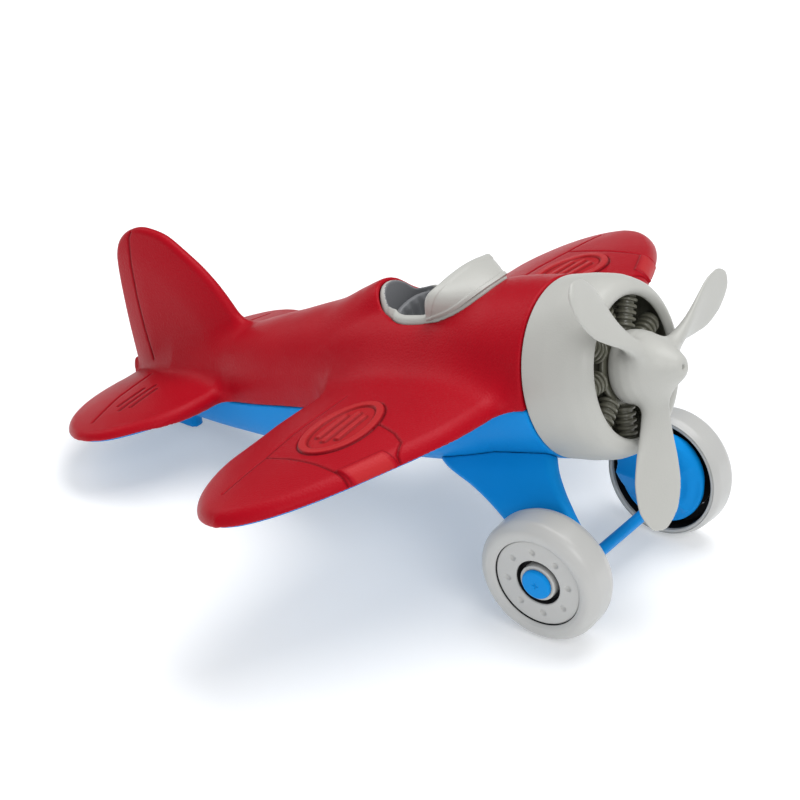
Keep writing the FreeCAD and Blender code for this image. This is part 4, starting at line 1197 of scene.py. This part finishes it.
def shaded_cockpit_faces(centres):
    x, y, z = to_flight(centres).T
    return (opening(x, y) < -2.1) & (fuselage(x, y, z) < 0.2)


tub = moulded_part("cockpit_insert_tub", cockpit, (-18, -20, 4), (38, 20, 37),
                   0.45, "airframe", "grey_plastic", "cockpit_insert",
                   passes=3)
# painted shade: the darker grey goes on the faces inside the cockpit
paint_faces(tub, COCKPIT_INSIDE_SHADE, shaded_cockpit_faces)

# ------------------------------------------------------------------ windscreen
# foot point on the body, then point on the arch, from the middle towards +y
SCREEN = np.array([
    ((33.7, 0.0, 31.0), (20.9, 0.0, 36.6)), ((32.7, 5.6, 30.6), (20.5, 7.0, 36.1)),
    ((30.7, 9.3, 29.6), (19.9, 13.0, 35.1)), ((27.9, 12.0, 28.2), (19.2, 17.0, 34.2)),
    ((24.6, 14.0, 26.6), (18.1, 18.8, 32.3)), ((20.6, 15.3, 25.2), (16.6, 18.9, 29.6)),
    ((16.8, 15.9, 24.2), (14.8, 17.6, 26.6)), ((13.4, 16.1, 23.6), (13.2, 16.4, 24.1))])
SCREEN_ROWS = 44
SCREEN_THICK = 1.8


def build_windscreen():
    """Curved sheet from foot to arch, with a raised rim along both."""
    whole = np.concatenate([SCREEN[:0:-1] * (1, -1, 1), SCREEN])
    foot = catmull(whole[:, 0], False, 12)
    arch = catmull(whole[:, 1], False, 12)
    count = len(foot)
    t = np.linspace(0, 1, SCREEN_ROWS)
    sheet = foot[:, None] * (1 - t)[None, :, None] + arch[:, None] * t[None, :, None]
    normal = np.cross(np.gradient(sheet, axis=0), np.gradient(sheet, axis=1))
    normal /= np.linalg.norm(normal, axis=2, keepdims=True) + 1e-9
    if (normal[count // 2, SCREEN_ROWS // 2] @ np.array([1.0, 0, 1.0])) < 0:
        normal = -normal
    height = np.linalg.norm(arch - foot, axis=1)[:, None]
    bulge = 0.05 * height * np.sin(math.pi * t)[None, :]
    from_arch, from_foot = (1 - t)[None, :] * height, t[None, :] * height
    rim = 0.35 * smoothstep((2.3 - from_arch) / 0.5) + 0.5 * smoothstep((1.9 - from_foot) / 0.5)
    outer = sheet + normal * (bulge + rim)[..., None]
    inner = sheet + normal * (bulge - SCREEN_THICK)[..., None] - np.array([0, 0, 0.3])
    loops = []
    for out, back in zip(outer, inner[:, ::-1]):
        middle = (out[-1] + back[0]) / 2
        onward = (out[-1] - out[-2]) / (np.linalg.norm(out[-1] - out[-2]) + 1e-9)
        arc = [middle + (out[-1] - middle) * math.cos(math.pi * turn)
               + onward * 0.8 * math.sin(math.pi * turn) for turn in (0.25, 0.5, 0.75)]
        loops.append(np.concatenate([out, np.array(arc), back]))
    loops = np.array(loops)
    around = loops.shape[1]
    faces = []
    for i in range(count - 1):
        for j in range(around):
            j2 = (j + 1) % around
            faces.append((i * around + j, i * around + j2,
                          (i + 1) * around + j2, (i + 1) * around + j))
    faces.append(tuple(range(around)))
    faces.append(tuple((count - 1) * around + j for j in range(around))[::-1])
    tidy(new_part("windscreen_hood", to_world(loops.reshape(-1, 3)), faces, "airframe",
                  "grey_plastic", "windscreen"), sharp_angle=50)


build_windscreen()

# ------------------------------------------------------------------ materials of the CAD pieces
for subpart in frame["record"]["subparts"]:
    node = frame["nodes"][subpart["node"]]
    # the engine takes the darker grey with painted shade instead of its slot's grey
    is_engine = subpart["node"] == "engine"
    material = ENGINE_SHADED_GREY if is_engine else SLOT_MATERIALS[subpart["material_slot"]]
    if not node.material_slots:
        node.data.materials.append(material)
    for slot in node.material_slots:
        slot.material = material


# ------------------------------------------------------------------ floor, light, camera
# (from here on in metres, except the camera's place)
def build_floor(half=6.0, z=-0.0002):
    mesh = bpy.data.meshes.new("floor")
    corners = [(-half, -half, z), (half, -half, z), (half, half, z), (-half, half, z)]
    mesh.from_pydata(corners, [], [(0, 1, 2, 3)])
    floor = bpy.data.objects.new("floor", mesh)
    bpy.context.scene.collection.objects.link(floor)
    material = bpy.data.materials.new("floor_white")
    material.use_nodes = True
    tree = material.node_tree
    noise = add_node(tree, "ShaderNodeTexNoise", {"Scale": 3.0})
    shade = add_node(tree, "ShaderNodeMapRange", {
        "Value": noise.outputs["Fac"], "To Min": 0.86, "To Max": 0.88}).outputs["Result"]
    color = add_node(tree, "ShaderNodeCombineColor", {"Red": shade, "Green": shade,
                                                      "Blue": shade})
    set_inputs(tree, tree.nodes["Principled BSDF"], {
        "Base Color": color.outputs["Color"], "Roughness": 0.9, "Specular IOR Level": 0.1,
        "Emission Color": (0.93, 0.96, 1.0, 1), "Emission Strength": 0.25})
    mesh.materials.append(material)


def build_world():
    """Even soft light that looks darker in reflections."""
    world = bpy.data.worlds.new("studio")
    bpy.context.scene.world = world
    world.use_nodes = True
    tree = world.node_tree
    path = add_node(tree, "ShaderNodeLightPath", {})
    strength = add_node(tree, "ShaderNodeMapRange", {
        "Value": path.outputs["Is Glossy Ray"], "To Min": 0.50, "To Max": 0.10})
    set_inputs(tree, tree.nodes["Background"], {
        "Color": (0.97, 0.98, 1.0, 1), "Strength": strength.outputs["Result"]})


def area_light(name, location, target, size, power):
    light = bpy.data.lights.new(name, "AREA")
    light.shape = "RECTANGLE"
    light.size, light.size_y = size
    light.energy = power
    light.color = (1, 1, 1)
    lamp = bpy.data.objects.new(name, light)
    bpy.context.scene.collection.objects.link(lamp)
    lamp.location = location
    aim = Vector(target) - Vector(location)
    lamp.rotation_euler = aim.to_track_quat("-Z", "Y").to_euler()


# camera: direction from the flight origin, distance and sideways offsets in mm
CAMERA_AZIMUTH, CAMERA_ELEVATION = math.radians(35.17), math.radians(29.49)
CAMERA_DISTANCE, CAMERA_LEFT, CAMERA_DOWN = 890.027, 13.896, 12.309


def build_camera():
    azimuth, elevation = CAMERA_AZIMUTH, CAMERA_ELEVATION
    back = np.array([math.sin(azimuth) * math.cos(elevation),
                     -math.cos(azimuth) * math.cos(elevation), math.sin(elevation)])
    right = np.array([math.cos(azimuth), math.sin(azimuth), 0.0])
    up = np.cross(back, right)
    place = (-CAMERA_LEFT * right - CAMERA_DOWN * up + CAMERA_DISTANCE * back + ORIGIN) * MM
    data = bpy.data.cameras.new("camera")
    data.lens = 115.17471
    data.sensor_width = 36.0
    data.shift_x = 0.0002125
    data.shift_y = 0.0007125
    data.clip_start, data.clip_end = 0.05, 50.0
    camera = bpy.data.objects.new("camera", data)
    scene = bpy.context.scene
    scene.collection.objects.link(camera)
    rows = [(right[i], up[i], back[i], place[i]) for i in range(3)]
    camera.matrix_world = Matrix((*rows, (0, 0, 0, 1)))
    scene.camera = camera
    scene.view_settings.view_transform = "Standard"
    scene.view_settings.look = "None"


build_floor()
build_world()
area_light("key_top", location=(0.10, 0.30, 1.1), target=(0, 0, 0.05), size=(0.9, 0.7),
           power=8.6)
area_light("key_front", location=(0.95, -0.55, 0.85), target=(0.02, 0, 0.05),
           size=(0.6, 0.6), power=4.2)
area_light("rim_left", location=(-0.9, 0.1, 0.7), target=(0, 0, 0.05), size=(0.5, 0.8),
           power=1.6)
area_light("fill_low", location=(0.3, -1.2, 0.35), target=(0, 0, 0.06), size=(0.9, 0.4),
           power=1.2)
build_camera()
